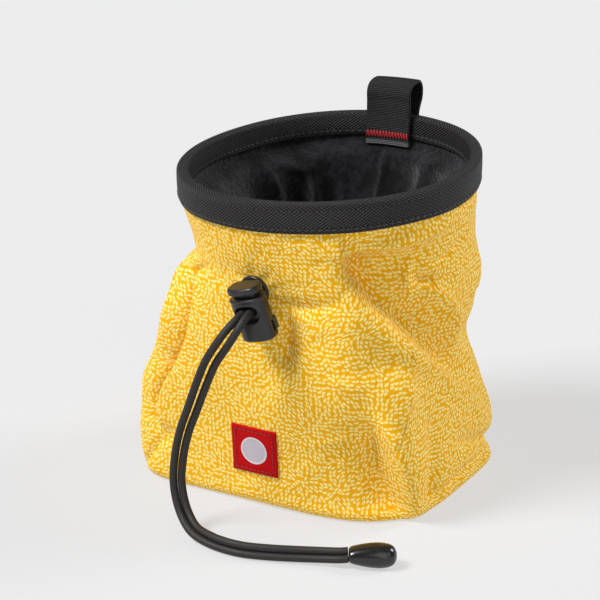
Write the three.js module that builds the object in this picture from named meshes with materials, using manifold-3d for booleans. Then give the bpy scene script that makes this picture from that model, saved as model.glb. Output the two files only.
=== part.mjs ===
// A climbing chalk bag: a soft bucket of printed cloth with a fleece lining, a webbing
// binding round its mouth, a belt loop at the back, and a drawstring whose two strands
// come out of an eyelet at the front, pass a cord lock and end in one hard end piece.
// Millimetres, +Z up, the front with its label looks along -Y.

import * as THREE from 'three';
import Module from 'manifold-3d';
import { mergeVertices } from 'three/addons/utils/BufferGeometryUtils.js';

const wasm = await Module();
wasm.setup();

// The bag
const bagHeight = 132.5;
const bagWidth = 122;
const bagDepth = 112;
const mouthTilt = 0.05;
const mouthTiltTurn = 29.5;
const baseRounding = 5;
const clothWall = 1.2;
const foldDepth = 10;
const foldSpread = 10;

// The lining hangs a little inside the cloth
const liningWall = 1.2;
const liningSlack = 1.0;
const pieceGap = 0.3;

// The webbing folded over the mouth, further down the outside than the inside
const bindingHeight = 12.1;
const bindingInside = 9.5;
const bindingThickness = 0.9;

// The belt loop
const loopWidth = 20;
const loopThickness = 1.4;
const loopRise = 14;
const loopDepth = 12.5;
const loopInnerTail = 12.4;
const loopOuterTail = 11.5;
const loopGap = 0.6;

// The eyelet
const eyeletTurn = 1;
const eyeletLevel = 0.7064;
const eyeletRadius = 6.6;
const eyeletBore = 4.6;
const eyeletThickness = 1.9;
const eyeletFlange = 0.7;

// The cord and its lock
const cordDiameter = 3.1;
const cordSpacing = 3.5;
const lockWidth = 14.3;
const lockDepth = 9.6;
const lockAboveHole = 6.3;
const lockBelowHole = 11.7;
const lockFootRound = 1.5;
const lockTopRound = 0.5;
const lockAcross = 3.3;
const lockDown = 4.4;
const lockStandoff = 0.8;
const lockLean = 14.4;
const lockPitch = 10;
const lockHoleWidth = 10.5;
const lockHoleHeight = 6.9;
const lockCavityWidth = 10.0;
const lockCavityDepth = 5.4;
const lockWallBelow = 4.2;
const buttonTravel = 1.5;
const buttonGap = 1.8;
const buttonHead = 2.7;
const buttonInset = 0.4;
const buttonTopRound = 1.0;
const buttonClearance = 0.3;
const cordClearance = 0.4;
const cordAboveHole = 0.9;
const cordAsideHole = -0.5;

// The hard piece on the cord's end
const endLength = 18;
const endDiameter = 9.6;
const endMouthWidth = 7.6;
const endMouthHeight = 5.2;
const endHeading = 27;

// The square label
const labelSize = 20;
const labelThickness = 0.8;
const labelLevel = 0.188;
const labelTurn = -1.6;

// Where the bag's upright axis stands in the part's frame
const axisX = -1;
const axisY = -2.2;

const columns = 56;
const sideRows = 16;
const liningRows = 6;

const halfWidth = bagWidth / 2;
const halfDepth = bagDepth / 2;
const clothTop = bagHeight - pieceGap - bindingThickness;
const bindingLow = bagHeight - bindingHeight;
const degrees = Math.PI / 180;

// Level as a share of the height; the reach to each side as a share of the half width
// or half depth; how square each corner is (2 is an ellipse).
const sections = [
  // level front right  back   left   frontRight backRight backLeft frontLeft
  [0.000, 0.857, 1.049, 0.759, 0.984, 3.4, 8.0, 8.0, 9.0],
  [0.168, 0.866, 1.033, 0.768, 1.025, 3.6, 8.0, 8.0, 9.0],
  [0.287, 0.875, 0.992, 0.777, 1.005, 3.4, 5.5, 6.0, 6.5],
  [0.405, 0.893, 0.955, 0.821, 0.955, 3.0, 3.4, 4.0, 4.0],
  [0.554, 0.920, 0.970, 0.911, 0.925, 2.6, 2.6, 3.0, 3.0],
  [0.732, 0.920, 0.968, 1.036, 0.852, 2.3, 2.2, 2.2, 2.2],
  [0.803, 0.960, 0.978, 1.107, 0.826, 2.1, 2.1, 2.0, 2.0],
  [0.900, 1.009, 1.008, 1.143, 0.875, 2.0, 2.0, 2.0, 2.0],
  [1.000, 1.027, 1.016, 1.155, 0.893, 2.0, 2.0, 2.0, 2.0],
];

// Each fold runs from a first point by a middle point to a last one. A point is a turn
// from the front in degrees and a level as a share of the height. Rises are shares of
// the fold depth, plus outwards, and the widths to the line's left and right are shares
// of the fold spread. A small softness gives a sharp crest.
const folds = [
  // name             first        middle       last         rises                left  right soft
  ['apex ridge',       37, 0.835,   45, 0.692,   60, 0.578,   0.50, 0.45, 0.40,    1.4,  0.7,  0.35],
  ['side ridge',       60, 0.578,   82, 0.420,   108, 0.247,  0.40, 0.45, 0.20,    1.2,  0.7,  0.35],
  ['casing edge',      38, 0.840,   60, 0.835,   90, 0.865,   0.40, 0.40, 0.10,    0.5,  0.5,  0.50],
  ['side hollow',      53, 0.761,   65, 0.662,   79, 0.544,   -0.95, -0.95, -0.80, 0.8,  1.0,  0.80],
  ['lower hollow',     79, 0.544,   93, 0.435,   108, 0.341,  -0.80, -0.60, -0.15, 0.8,  0.9,  0.80],
  ['side pleat',       72, 0.781,   68, 0.732,   64, 0.672,   0.20, 0.30, 0.08,    0.5,  0.5,  0.40],
  ['side swell',       70, 0.692,   86, 0.633,   103, 0.475,  0.30, 0.60, 0.26,    0.8,  0.6,  0.45],
  ['side crease',      83, 0.840,   92, 0.771,   100, 0.702,  -0.20, -0.42, -0.10, 0.5,  0.5,  0.40],
  ['side shoulder',    112, 0.692,  119, 0.633,  121, 0.573,  0.25, 0.40, 0.20,    0.9,  1.2,  0.80],
  ['side pinch',       96, 0.534,   106, 0.484,  116, 0.445,  -0.10, -0.25, -0.35, 0.6,  0.6,  0.60],
  ['left crease',      -38, 0.727,  -32, 0.573,  -41, 0.395,  -0.45, -0.65, -0.65, 0.45, 0.8,  0.30],
  ['left crease low',  -41, 0.395,  -49, 0.277,  -44, 0.138,  -0.65, -0.50, -0.20, 0.45, 0.7,  0.30],
  ['left bulge',       -48, 0.662,  -48, 0.494,  -58, 0.297,  0.35, 0.45, 0.20,    0.8,  0.4,  0.80],
  ['left tuck',        -44, 0.138,  -49, 0.079,  -54, 0.020,  -0.20, -0.26, -0.15, 0.45, 0.4,  0.30],
  ['neck tuck',        -36, 0.727,  -30, 0.742,  -24, 0.756,  -0.26, -0.24, -0.05, 0.4,  0.4,  0.30],
  ['neck left',        -90, 0.742,  -64, 0.740,  -40, 0.760,  -0.90, -1.00, -0.15, 0.5,  0.4,  0.35],
  ['front groove',     10, 0.677,   20, 0.672,   34, 0.692,   -0.20, -0.30, -0.16, 0.5,  0.5,  0.60],
  ['front dimple',     14, 0.633,   16, 0.564,   13, 0.465,   -0.60, -0.70, -0.25, 0.7,  0.8,  0.60],
  ['front swell',      -20, 0.415,  0, 0.356,    30, 0.415,   0.16, 0.20, 0.20,    1.6,  1.4,  1.20],
  ['dart lip',         50, 0.326,   55, 0.218,   62, 0.040,   0.20, 0.50, 0.30,    0.8,  0.5,  0.35],
  ['dart hollow',      43, 0.247,   46, 0.129,   48, 0.040,   -0.55, -0.90, -0.50, 0.5,  1.2,  0.70],
  ['corner ridge',     58, 0.336,   64, 0.198,   66, 0.059,   0.10, 0.20, 0.10,    0.7,  0.6,  0.50],
  ['corner valley',    71, 0.326,   73, 0.218,   72, 0.099,   -0.10, -0.36, -0.25, 0.5,  0.5,  0.40],
  ['side notch',       88, 0.188,   102, 0.138,  122, 0.089,  -0.08, -0.34, -0.42, 0.4,  0.5,  0.30],
  ['hem fold',         82, 0.049,   98, 0.049,   118, 0.030,  -0.15, -0.25, -0.15, 0.25, 0.3,  0.30],
];
const foldSteps = 6;
const foldFadeLength = 6;
const foldFadeBase = 0.06;
const foldAtBase = 0.35;

// The middle of the cord pair, from inside the eyelet, through the lock, down in front
// of the bag and along the floor to the end piece; the points are chosen by eye.
const cordRoute = [
  [1.4, -50.2, 92.0],
  [1.5, -52.0, 91.9],
  [1.6, -53.8, 91.5],
  [2.7, -55.6, 90.3],
  [3.5, -57.8, 89.4],
  [3.6, -60.2, 89.0],
  [3.8, -65.0, 88.2],
  [3.5, -68.8, 86.5],
  [1.9, -72.2, 83.0],
  [-1.1, -74.4, 77.6],
  [-5.1, -75.3, 70.8],
  [-8.6, -75.6, 62.6],
  [-13.4, -76.0, 49.5],
  [-16.7, -76.3, 40.4],
  [-19.0, -76.8, 29.8],
  [-19.4, -77.8, 19.6],
  [-17.2, -79.4, 12.0],
  [-13.0, -81.8, 6.6],
  [-7.2, -85.2, 4.1],
  [0.4, -87.7, 3.4],
  [8.4, -89.0, 3.3],
  [16.6, -88.6, 3.3],
  [26.4, -85.6, 3.3],
  [36.4, -81.6, 3.4],
  [45.6, -78.4, 3.9],
  [51.2, -77.0, 4.5],
  [54.4, -75.4, 4.8],
];

// Which way the first strand lies from the middle, along the route, and how far apart
// the strands are as a share of the spacing.
const cordPair = [
  // share  x      y      z     spread
  [0.00, -0.97, 0.00, -0.25, 0.93],
  [0.09, -0.97, 0.00, -0.25, 1.00],
  [0.20, -0.87, -0.49, 0.00, 1.15],
  [0.45, -0.85, -0.50, -0.05, 1.10],
  [0.62, -0.80, -0.55, -0.20, 1.00],
  [0.72, -0.30, -0.40, -0.87, 1.00],
  [0.85, 0.00, -0.50, -0.87, 1.00],
  [1.00, 0.28, -0.66, -0.70, 1.00],
];
const cordSteps = 32;
const cordSides = 8;

// Loft, section and boolean helpers

function smooth(value, low, high) {
  const share = Math.min(1, Math.max(0, (value - low) / (high - low)));
  return share * share * (3 - 2 * share);
}

function slopeAt(table, row, column) {
  const before = table[Math.max(0, row - 1)];
  const after = table[Math.min(table.length - 1, row + 1)];
  return (after[column] - before[column]) / (after[0] - before[0]);
}

// A row of the table at any level, by a smooth curve through its rows.
function rowAt(table, level) {
  const held = Math.min(table.at(-1)[0], Math.max(table[0][0], level));
  let row = 0;
  while (row < table.length - 2 && held > table[row + 1][0]) row += 1;
  const from = table[row];
  const to = table[row + 1];
  const span = to[0] - from[0];
  const t = (held - from[0]) / span;
  const fromValue = 2 * t ** 3 - 3 * t ** 2 + 1;
  const fromSlope = t ** 3 - 2 * t ** 2 + t;
  const toSlope = t ** 3 - t ** 2;
  return from.map((value, column) =>
    fromValue * value + (1 - fromValue) * to[column] + span *
    (fromSlope * slopeAt(table, row, column) + toSlope * slopeAt(table, row + 1, column)));
}

// A closed body through rings of points, with a fan at each end, or with its last ring
// joined to its first where it runs round in a circle.
function loft(rings, round = false) {
  const count = rings[0].length;
  const points = rings.flat();
  const faces = [];
  const bands = round ? rings.length : rings.length - 1;
  for (let ring = 0; ring < bands; ring += 1) {
    const low = ring * count;
    const high = ((ring + 1) % rings.length) * count;
    for (let side = 0; side < count; side += 1) {
      const next = (side + 1) % count;
      faces.push([low + side, low + next, high + next], [low + side, high + next, high + side]);
    }
  }
  if (!round) {
    for (const [ring, turned] of [[0, true], [rings.length - 1, false]]) {
      const middle = new THREE.Vector3();
      rings[ring].forEach((point) => middle.addScaledVector(point, 1 / count));
      const hub = points.push(middle) - 1;
      for (let side = 0; side < count; side += 1) {
        const here = ring * count + side;
        const next = ring * count + (side + 1) % count;
        faces.push(turned ? [hub, next, here] : [hub, here, next]);
      }
    }
  }
  let volume = 0;
  const normal = new THREE.Vector3();
  for (const [a, b, c] of faces) volume += points[a].dot(normal.crossVectors(points[b], points[c]));
  if (volume < 0) faces.forEach((face) => face.reverse());
  const geometry = new THREE.BufferGeometry();
  const numbers = points.flatMap((point) => point.toArray());
  geometry.setAttribute('position', new THREE.Float32BufferAttribute(numbers, 3));
  geometry.setIndex(faces.flat());
  geometry.computeVertexNormals();
  return geometry;
}

function solid(geometry) {
  const bare = geometry.clone();
  bare.deleteAttribute('normal');
  bare.deleteAttribute('uv');
  const merged = mergeVertices(bare, 1e-5);
  const vertProperties = new Float32Array(merged.attributes.position.array);
  const triVerts = new Uint32Array(merged.index.array);
  return new wasm.Manifold(new wasm.Mesh({ numProp: 3, vertProperties, triVerts }));
}

function fromSolid(body) {
  const mesh = body.getMesh();
  const geometry = new THREE.BufferGeometry();
  geometry.setAttribute('position', new THREE.BufferAttribute(mesh.vertProperties, 3));
  geometry.setIndex(new THREE.BufferAttribute(mesh.triVerts, 1));
  geometry.computeVertexNormals();
  return geometry;
}

// A rounded ring in the XY plane: power 2 is an ellipse, more is squarer.
function oval(width, depth, level, power = 2.6, sides = 20) {
  return Array.from({ length: sides }, (_, side) => {
    const angle = (side / sides) * 2 * Math.PI;
    const along = Math.cos(angle);
    const across = Math.sin(angle);
    const reach = (Math.abs(along) ** power + Math.abs(across) ** power) ** (-1 / power);
    return new THREE.Vector3(width / 2 * along * reach, depth / 2 * across * reach, level);
  });
}

// A round-cornered bar along Y, for the openings that the cord runs through.
function cordPassage(width, height, length, corner) {
  const side = width / 2 - corner;
  const end = height / 2 - corner;
  const shape = new THREE.Shape();
  shape.absarc(side, -end, corner, -Math.PI / 2, 0);
  shape.absarc(side, end, corner, 0, Math.PI / 2);
  shape.absarc(-side, end, corner, Math.PI / 2, Math.PI);
  shape.absarc(-side, -end, corner, Math.PI, Math.PI * 1.5);
  const settings = { depth: length, bevelEnabled: false, curveSegments: 3 };
  const bar = new THREE.ExtrudeGeometry(shape, settings);
  return bar.translate(0, 0, -length / 2).rotateX(Math.PI / 2);
}

// The bag's form

// The distance of the smooth outer form from the axis, before its folds.
function reachAt(turn, level) {
  const [, front, right, back, left, ...corners] = rowAt(sections, level);
  const across = Math.sin(turn);
  const ahead = Math.cos(turn);
  const sideReach = halfWidth * (across >= 0 ? right : left);
  const endReach = halfDepth * (ahead >= 0 ? front : back);
  const corner = across >= 0 ? (ahead >= 0 ? 0 : 1) : (ahead >= 0 ? 3 : 2);
  const power = corners[corner];
  const sum = Math.abs(across / sideReach) ** power + Math.abs(ahead / endReach) ** power;
  return sum ** (-1 / power);
}

// A turn and a height as a place on the cloth laid flat, seen from a fold's middle turn.
const unrolled = (halfWidth + halfDepth) / 2;

function foldPoints([, turnA, levelA, turnB, levelB, turnC, levelC, riseA, riseB, riseC]) {
  return Array.from({ length: foldSteps + 1 }, (_, step) => {
    const t = step / foldSteps;
    const a = (1 - t) * (1 - 2 * t);
    const b = 4 * t * (1 - t);
    const c = t * (2 * t - 1);
    return {
      along: ((turnA - turnB) * a + (turnC - turnB) * c) * degrees * unrolled,
      up: (levelA * a + levelB * b + levelC * c) * bagHeight,
      rise: (riseA * a + riseB * b + riseC * c) * foldDepth,
    };
  });
}

const foldLines = folds.map((fold) => ({
  turn: fold[3] * degrees,
  points: foldPoints(fold),
  left: fold[10] * foldSpread,
  right: fold[11] * foldSpread,
  soft: fold[12],
}));

function foldRise(turn, height) {
  let total = 0;
  for (const { turn: middle, points, left, right, soft } of foldLines) {
    const offset = Math.atan2(Math.sin(turn - middle), Math.cos(turn - middle)) * unrolled;
    let nearest = Infinity;
    let rise = 0;
    for (let step = 0; step < foldSteps; step += 1) {
      const from = points[step];
      const to = points[step + 1];
      const runAlong = to.along - from.along;
      const runUp = to.up - from.up;
      const length = Math.hypot(runAlong, runUp);
      const forward = ((offset - from.along) * runAlong + (height - from.up) * runUp) / length;
      const sideways = ((offset - from.along) * runUp - (height - from.up) * runAlong) / length;
      const held = Math.min(length, Math.max(0, forward));
      const width = sideways > 0 ? right : left;
      const distance = Math.hypot(sideways / width, (forward - held) / ((left + right) / 2));
      if (distance < nearest) {
        nearest = distance;
        rise = from.rise + (to.rise - from.rise) * held / length;
      }
    }
    total += rise * Math.exp(soft - Math.hypot(nearest, soft) - 0.12 * nearest ** 2);
  }
  const fade = smooth(height, bindingLow, bindingLow - foldFadeLength);
  return total * fade * (foldAtBase + (1 - foldAtBase) * smooth(height / bagHeight, 0, foldFadeBase));
}

// The mouth's plane leans, so the upper part of the bag is lifted towards one side.
function lifted(x, y, height) {
  const side = x * Math.cos(mouthTiltTurn * degrees) + y * Math.sin(mouthTiltTurn * degrees);
  return height + mouthTilt * side * smooth(height / bagHeight, 0.35, 0.95);
}

function atReach(turn, reach, height) {
  const x = reach * Math.sin(turn);
  const y = -reach * Math.cos(turn);
  return new THREE.Vector3(x, y, lifted(x, y, height));
}

function clothPoint(turn, height, inset = 0) {
  return atReach(turn, reachAt(turn, height / bagHeight) + foldRise(turn, height) - inset, height);
}

// The lining keeps clear of the deepest dent of the cloth near each of its points.
function liningPoint(turn, height, inset) {
  let dent = 0;
  for (const aside of [-1, 0, 1]) {
    for (const above of [-1, -0.5, 0, 0.5, 1]) {
      const near = turn + aside * 2 * Math.PI / columns;
      const level = Math.min(clothTop, Math.max(0, height + above * bagHeight / liningRows));
      dent = Math.min(dent, foldRise(near, level));
    }
  }
  const hang = smooth(height, bindingLow - pieceGap, bindingLow - foldFadeLength);
  const clear = clothWall + pieceGap + (liningHang - dent) * hang;
  return atReach(turn, reachAt(turn, height / bagHeight) - clear - inset, height);
}

const turns = Array.from({ length: columns }, (_, column) => (column / columns) * 2 * Math.PI);

function flatRing(pointAt, height, inset, level) {
  return turns.map((turn) => pointAt(turn, height, inset).setZ(level));
}

// An open bucket: up the outside from its rounded base, and down the inside. It has a
// floor of its own, or a hole there with the edge for a base panel.
function bucket({ pointAt, wall, floor, top, rows, angles, hole = false }) {
  const ring = (height, inset) => turns.map((turn) => pointAt(turn, height, inset));
  const baseRings = (inset, level) => {
    const rounding = baseRounding - inset;
    return angles.map((angle) => {
      const pulled = inset + rounding * (1 - Math.sin(angle * degrees));
      const rise = rounding * (1 - Math.cos(angle * degrees));
      return flatRing(pointAt, rise, pulled, level + rise);
    });
  };
  const below = bindingLow - pieceGap;
  const climb = (below - baseRounding) / rows;
  const heights = Array.from({ length: rows + 1 }, (_, row) => baseRounding + climb * row);
  heights.push((below + top) / 2, top);
  const sides = (inset) => heights.map((height) => ring(Math.max(height, baseRounding + floor), inset));
  const outside = [...baseRings(0, floor), ...sides(0)];
  const inside = [...baseRings(wall, floor + wall), ...sides(wall)].reverse();
  return loft([...outside, ...inside], hole);
}

// Pieces

function shellGeometry() {
  const bag = solid(bucket({
    pointAt: clothPoint,
    wall: clothWall,
    floor: 0,
    top: clothTop,
    rows: sideRows,
    angles: [0, 35, 65],
    hole: true,
  }));
  const drill = new THREE.CylinderGeometry(eyeletHole, eyeletHole, halfDepth / 2, 20);
  drill.translate(eyeletX, eyeletSeat, eyeletZ);
  drill.translate(0, -2 * eyeletSeat, 0);
  return fromSolid(bag.subtract(solid(drill)));
}

// The flat panel that closes the shell, inside the edge of its rounded wall.
function baseGeometry() {
  const edge = (level) => flatRing(clothPoint, 0, baseRounding + pieceGap, level)
    .filter((_, side) => side % 2 === 0);
  return loft([edge(0), edge(clothWall)]);
}

function liningGeometry() {
  return bucket({
    pointAt: liningPoint,
    wall: liningWall,
    floor: clothWall + pieceGap,
    top: clothTop,
    rows: liningRows,
    angles: [0, 50],
  });
}

// The eyelet's place: its ring sits on the foremost point of the cloth that it covers.
const eyeletAngle = eyeletTurn * degrees;
const eyeletCentre = clothPoint(eyeletAngle, eyeletLevel * bagHeight);
const eyeletX = eyeletCentre.x;
const eyeletZ = eyeletCentre.z;
const eyeletBarrel = (eyeletBore + eyeletRadius) / 2 - 0.4;
const eyeletHole = eyeletBarrel + pieceGap;

function clothFront(radius, inset, choose) {
  const fronts = [];
  for (let side = 0; side < 12; side += 1) {
    for (const share of [0.75, 1]) {
      const angle = side * 30 * degrees;
      const x = eyeletX + radius * share * Math.cos(angle);
      const turn = Math.asin(x / Math.hypot(eyeletX, eyeletCentre.y));
      const point = clothPoint(turn, eyeletLevel * bagHeight + radius * share * Math.sin(angle), inset);
      fronts.push(-point.y);
    }
  }
  return choose(...fronts);
}

const eyeletSeat = clothFront(eyeletRadius, 0, Math.max);
const eyeletBack = clothFront(eyeletRadius, clothWall, Math.min);

// The lining hangs behind the eyelet's back flange.
const liningHang = eyeletSeat - eyeletBack - clothWall + eyeletFlange + pieceGap + liningSlack;

function eyeletGeometry() {
  const front = pieceGap;
  const back = eyeletBack - eyeletSeat - pieceGap;
  const bend = eyeletThickness / 3;
  const crown = (eyeletBore + eyeletRadius) / 2;
  const profile = [
    [eyeletBarrel, front],
    [eyeletRadius - bend / 2, front],
    [eyeletRadius, front + bend],
    [eyeletRadius - bend, front + eyeletThickness - bend / 2],
    [crown, front + eyeletThickness],
    [eyeletBore + bend / 2, front + eyeletThickness - bend / 2],
    [eyeletBore, front + bend],
    [eyeletBore, back - eyeletFlange],
    [eyeletRadius - bend, back - eyeletFlange],
    [eyeletRadius - bend, back],
    [eyeletBarrel, back],
    [eyeletBarrel, front],
  ];
  const ring = new THREE.LatheGeometry(profile.map(([r, out]) => new THREE.Vector2(r, out)), 18);
  return ring.rotateX(Math.PI).translate(eyeletX, -eyeletSeat, eyeletZ);
}

// A strip of webbing folded over the top edges of the cloth and the lining.
function bindingGeometry() {
  const outerFace = pieceGap + bindingThickness;
  const innerEdge = -(clothWall + pieceGap + liningWall + pieceGap + pieceGap);
  const innerFace = innerEdge - bindingThickness;
  const innerLow = bagHeight - bindingInside;
  const bend = bindingThickness;
  const profile = [
    [outerFace, bindingLow],
    [outerFace, bagHeight - bend],
    [outerFace - bend, bagHeight],
    [innerFace + bend, bagHeight],
    [innerFace, bagHeight - bend],
    [innerFace, innerLow],
    [innerEdge, innerLow],
    [innerEdge, clothTop + pieceGap],
    [pieceGap, clothTop + pieceGap],
    [pieceGap, bindingLow],
  ];
  return loft(turns.map((turn) => profile.map(([out, height]) =>
    atReach(turn, reachAt(turn, height / bagHeight) + out, height))), true);
}

// The strap runs up the inside of the rim, over, and down its outside, and follows the
// rim's curve across its width.
function loopGeometry() {
  const rimOuter = pieceGap + bindingThickness;
  const rimInner = -(clothWall + liningWall + 3 * pieceGap + bindingThickness);
  const inside = rimInner - loopGap;
  const outside = rimOuter + loopGap;
  const half = loopDepth / 2;
  const middle = inside - loopThickness + half;
  const crown = loopRise - loopThickness;
  const centreLine = [
    [inside - loopThickness / 2, -loopInnerTail],
    [inside - loopThickness / 2, 0],
    [middle - half + loopThickness / 2, crown * 0.45],
    [middle - half + loopThickness / 2, crown * 0.8],
    [middle - half * 0.55, crown],
    [middle + half * 0.55, crown + 0.2],
    [middle + half - loopThickness / 2, crown * 0.8],
    [middle + half - loopThickness / 2, crown * 0.45],
    [outside + loopThickness / 2 + 0.6, 1],
    [outside + loopThickness / 2 + 0.1, -2.5],
    [outside + loopThickness / 2, -loopOuterTail],
  ];
  const places = centreLine.map(([out, up]) => new THREE.Vector3(out, up, 0));
  const path = new THREE.CatmullRomCurve3(places, false, 'centripetal');
  const steps = 16;
  const across = [-1, -0.5, 0, 0.5, 1];
  const rings = [];
  for (let step = 0; step <= steps; step += 1) {
    const place = path.getPointAt(step / steps);
    const tangent = path.getTangentAt(step / steps);
    const ring = [];
    for (const [face, order] of [[1, across], [-1, [...across].reverse()]]) {
      for (const side of order) {
        const x = side * loopWidth / 2;
        const turn = Math.PI - Math.asin(x / (halfDepth * sections.at(-1)[3]));
        const out = place.x + face * tangent.y * loopThickness / 2;
        const height = bagHeight + place.y - face * tangent.x * loopThickness / 2;
        const rim = reachAt(turn, Math.min(1, height / bagHeight));
        ring.push(atReach(turn, rim + out, height).setX(x));
      }
    }
    rings.push(ring);
  }
  return loft(rings);
}

function labelGeometry() {
  const divisions = 4;
  const rows = Array.from({ length: divisions + 1 }, (_, row) => row / divisions - 0.5);
  const middle = clothPoint(labelTurn * degrees, labelLevel * bagHeight);
  const rings = [];
  for (const across of rows) {
    const x = middle.x + across * labelSize;
    const turn = Math.atan2(x, -middle.y);
    const faceAt = (out) => rows.map((up) => {
      const point = clothPoint(turn, labelLevel * bagHeight + up * labelSize, -out);
      return point.setX(x);
    });
    rings.push([...faceAt(pieceGap + labelThickness), ...faceAt(pieceGap + 0.05).reverse()]);
  }
  return loft(rings);
}

// An upright body with a rounded bottom edge and a rounded top edge.
function roundedBody({ width, depth, low, high, lowRound, highRound, power }) {
  const ring = (inset, level) => oval(width - 2 * inset, depth - 2 * inset, level, power);
  const bend = 1 - Math.SQRT1_2;
  return loft([
    ring(lowRound, low),
    ring(lowRound * bend, low + lowRound * bend),
    ring(0, low + lowRound),
    ring(0, high - highRound),
    ring(highRound, high),
  ]);
}

// The lock's local frame: its hole runs along Y, the button is pressed along -Z, and the
// origin is the middle of the hole.
function lockBodyGeometry() {
  const low = -lockBelowHole;
  const shape = roundedBody({
    width: lockWidth,
    depth: lockDepth,
    low,
    high: lockAboveHole,
    lowRound: lockFootRound,
    highRound: lockTopRound,
    power: 2.6,
  });
  const clip = new THREE.BoxGeometry(2.2, lockDepth * 0.26, lockHoleHeight * 0.8);
  clip.translate(lockWidth / 2 - 0.4, lockDepth * 0.19, low + lockHoleHeight * 0.75);
  const cavityFloor = low + lockWallBelow;
  const cavity = loft([
    oval(lockCavityWidth, lockCavityDepth, cavityFloor, 4),
    oval(lockCavityWidth, lockCavityDepth, lockAboveHole + 1, 4),
  ]);
  const passage = cordPassage(lockHoleWidth, lockHoleHeight, 2 * lockDepth, lockHoleHeight * 0.48);
  return fromSolid(solid(shape).add(solid(clip)).subtract(solid(cavity)).subtract(solid(passage)));
}

function buttonGeometry() {
  const under = lockAboveHole + buttonGap;
  const stemWidth = lockCavityWidth - 2 * buttonClearance;
  const stemDepth = lockCavityDepth - 2 * buttonClearance;
  const stemLow = lockWallBelow - lockBelowHole + buttonClearance + buttonTravel;
  const head = roundedBody({
    width: lockWidth - 2 * buttonInset,
    depth: lockDepth - 2 * buttonInset,
    low: under,
    high: under + buttonHead,
    lowRound: lockTopRound,
    highRound: buttonTopRound,
    power: 3,
  });
  const stem = loft([
    oval(stemWidth, stemDepth, stemLow, 4),
    oval(stemWidth, stemDepth, under + buttonHead / 2, 4),
  ]);
  const slotWidth = cordSpacing + cordDiameter + 2 * cordClearance;
  const slotHeight = cordDiameter + 2 * cordClearance + buttonTravel;
  const slot = cordPassage(slotWidth, slotHeight, 2 * lockDepth, cordDiameter * 0.4);
  slot.translate(cordAsideHole, 0, cordAboveHole + buttonTravel / 2);
  return fromSolid(solid(head).add(solid(stem)).subtract(solid(slot)));
}

// The end piece lies on the floor, narrow at the mouth that holds both strands.
function cordEndGeometry() {
  const profile = [
    // share of length, width, height
    [0.00, endMouthWidth, endMouthHeight],
    [0.05, endMouthWidth + 0.5, endMouthHeight + 1.0],
    [0.30, endDiameter * 0.93, endDiameter * 0.86],
    [0.62, endDiameter, endDiameter],
    [0.82, endDiameter * 0.90, endDiameter * 0.88],
    [0.94, endDiameter * 0.64, endDiameter * 0.62],
    [1.00, endDiameter * 0.26, endDiameter * 0.26],
  ];
  return loft(profile.map(([share, width, height]) =>
    oval(width, height, share * endLength, 2.1, 16)));
}

function strandGeometry(side) {
  const places = cordRoute.map((place) => new THREE.Vector3(...place));
  const middle = new THREE.CatmullRomCurve3(places, false, 'centripetal');
  const offsets = cordRoute.length * 2;
  const points = Array.from({ length: offsets + 1 }, (_, index) => {
    const share = index / offsets;
    const place = middle.getPointAt(share);
    const tangent = middle.getTangentAt(share);
    const [, x, y, z, spread] = rowAt(cordPair, share);
    const aside = new THREE.Vector3(x, y, z).projectOnPlane(tangent).normalize();
    return place.addScaledVector(aside, side * spread * cordSpacing / 2);
  });
  const section = Array.from({ length: cordSides }, (_, corner) => {
    const angle = (corner + 0.5) / cordSides * 2 * Math.PI;
    return new THREE.Vector2(Math.cos(angle), Math.sin(angle)).multiplyScalar(cordDiameter / 2);
  });
  return new THREE.ExtrudeGeometry(new THREE.Shape(section), {
    steps: cordSteps,
    bevelEnabled: false,
    extrudePath: new THREE.CatmullRomCurve3(points, false, 'centripetal'),
  });
}

// Materials

function finish(color, roughness, metalness = 0) {
  return new THREE.MeshStandardMaterial({ color, roughness, metalness });
}

const printedCloth = finish('#efb62a', 0.85);
const blackFleece = finish('#141416', 0.95);
const blackWebbing = finish('#1d1d20', 0.75);
const blackRing = finish('#131315', 0.25);
const greyPlastic = finish('#2f2e33', 0.5);
const blackCord = finish('#19181b', 0.8);
const glossPlastic = finish('#17171a', 0.22);
const redPatch = finish('#c4151f', 0.7);

// Assembly

function piece(name, geometry, material) {
  const mesh = new THREE.Mesh(geometry, material);
  mesh.name = name;
  return mesh;
}

const lock = new THREE.Group();
lock.add(piece('cord_lock_body', lockBodyGeometry(), greyPlastic));
lock.add(piece('cord_lock_button', buttonGeometry(), greyPlastic));
lock.rotation.set(lockPitch * degrees, -lockLean * degrees, 0, 'YXZ');
const ringBelowHole = eyeletRadius - lockDown;
const ringFront = eyeletSeat + pieceGap + eyeletThickness;
const lockSeat = ringFront + lockStandoff + ringBelowHole * Math.sin(lockPitch * degrees);
const lockMiddle = lockSeat + lockDepth / 2 / Math.cos(lockPitch * degrees);
lock.position.set(eyeletX + lockAcross, -lockMiddle, eyeletZ - lockDown);

const cordEnd = piece('cord_end', cordEndGeometry(), glossPlastic);
const mouth = new THREE.Vector3(...cordRoute.at(-1));
const heading = endHeading * degrees;
const endBasis = new THREE.Matrix4().makeBasis(
  new THREE.Vector3(-Math.sin(heading), Math.cos(heading), 0),
  new THREE.Vector3(0, 0, 1),
  new THREE.Vector3(Math.cos(heading), Math.sin(heading), 0),
);
cordEnd.quaternion.setFromRotationMatrix(endBasis);
cordEnd.position.set(
  mouth.x + pieceGap * Math.cos(heading),
  mouth.y + pieceGap * Math.sin(heading),
  endDiameter / 2 + 0.1,
);

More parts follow.
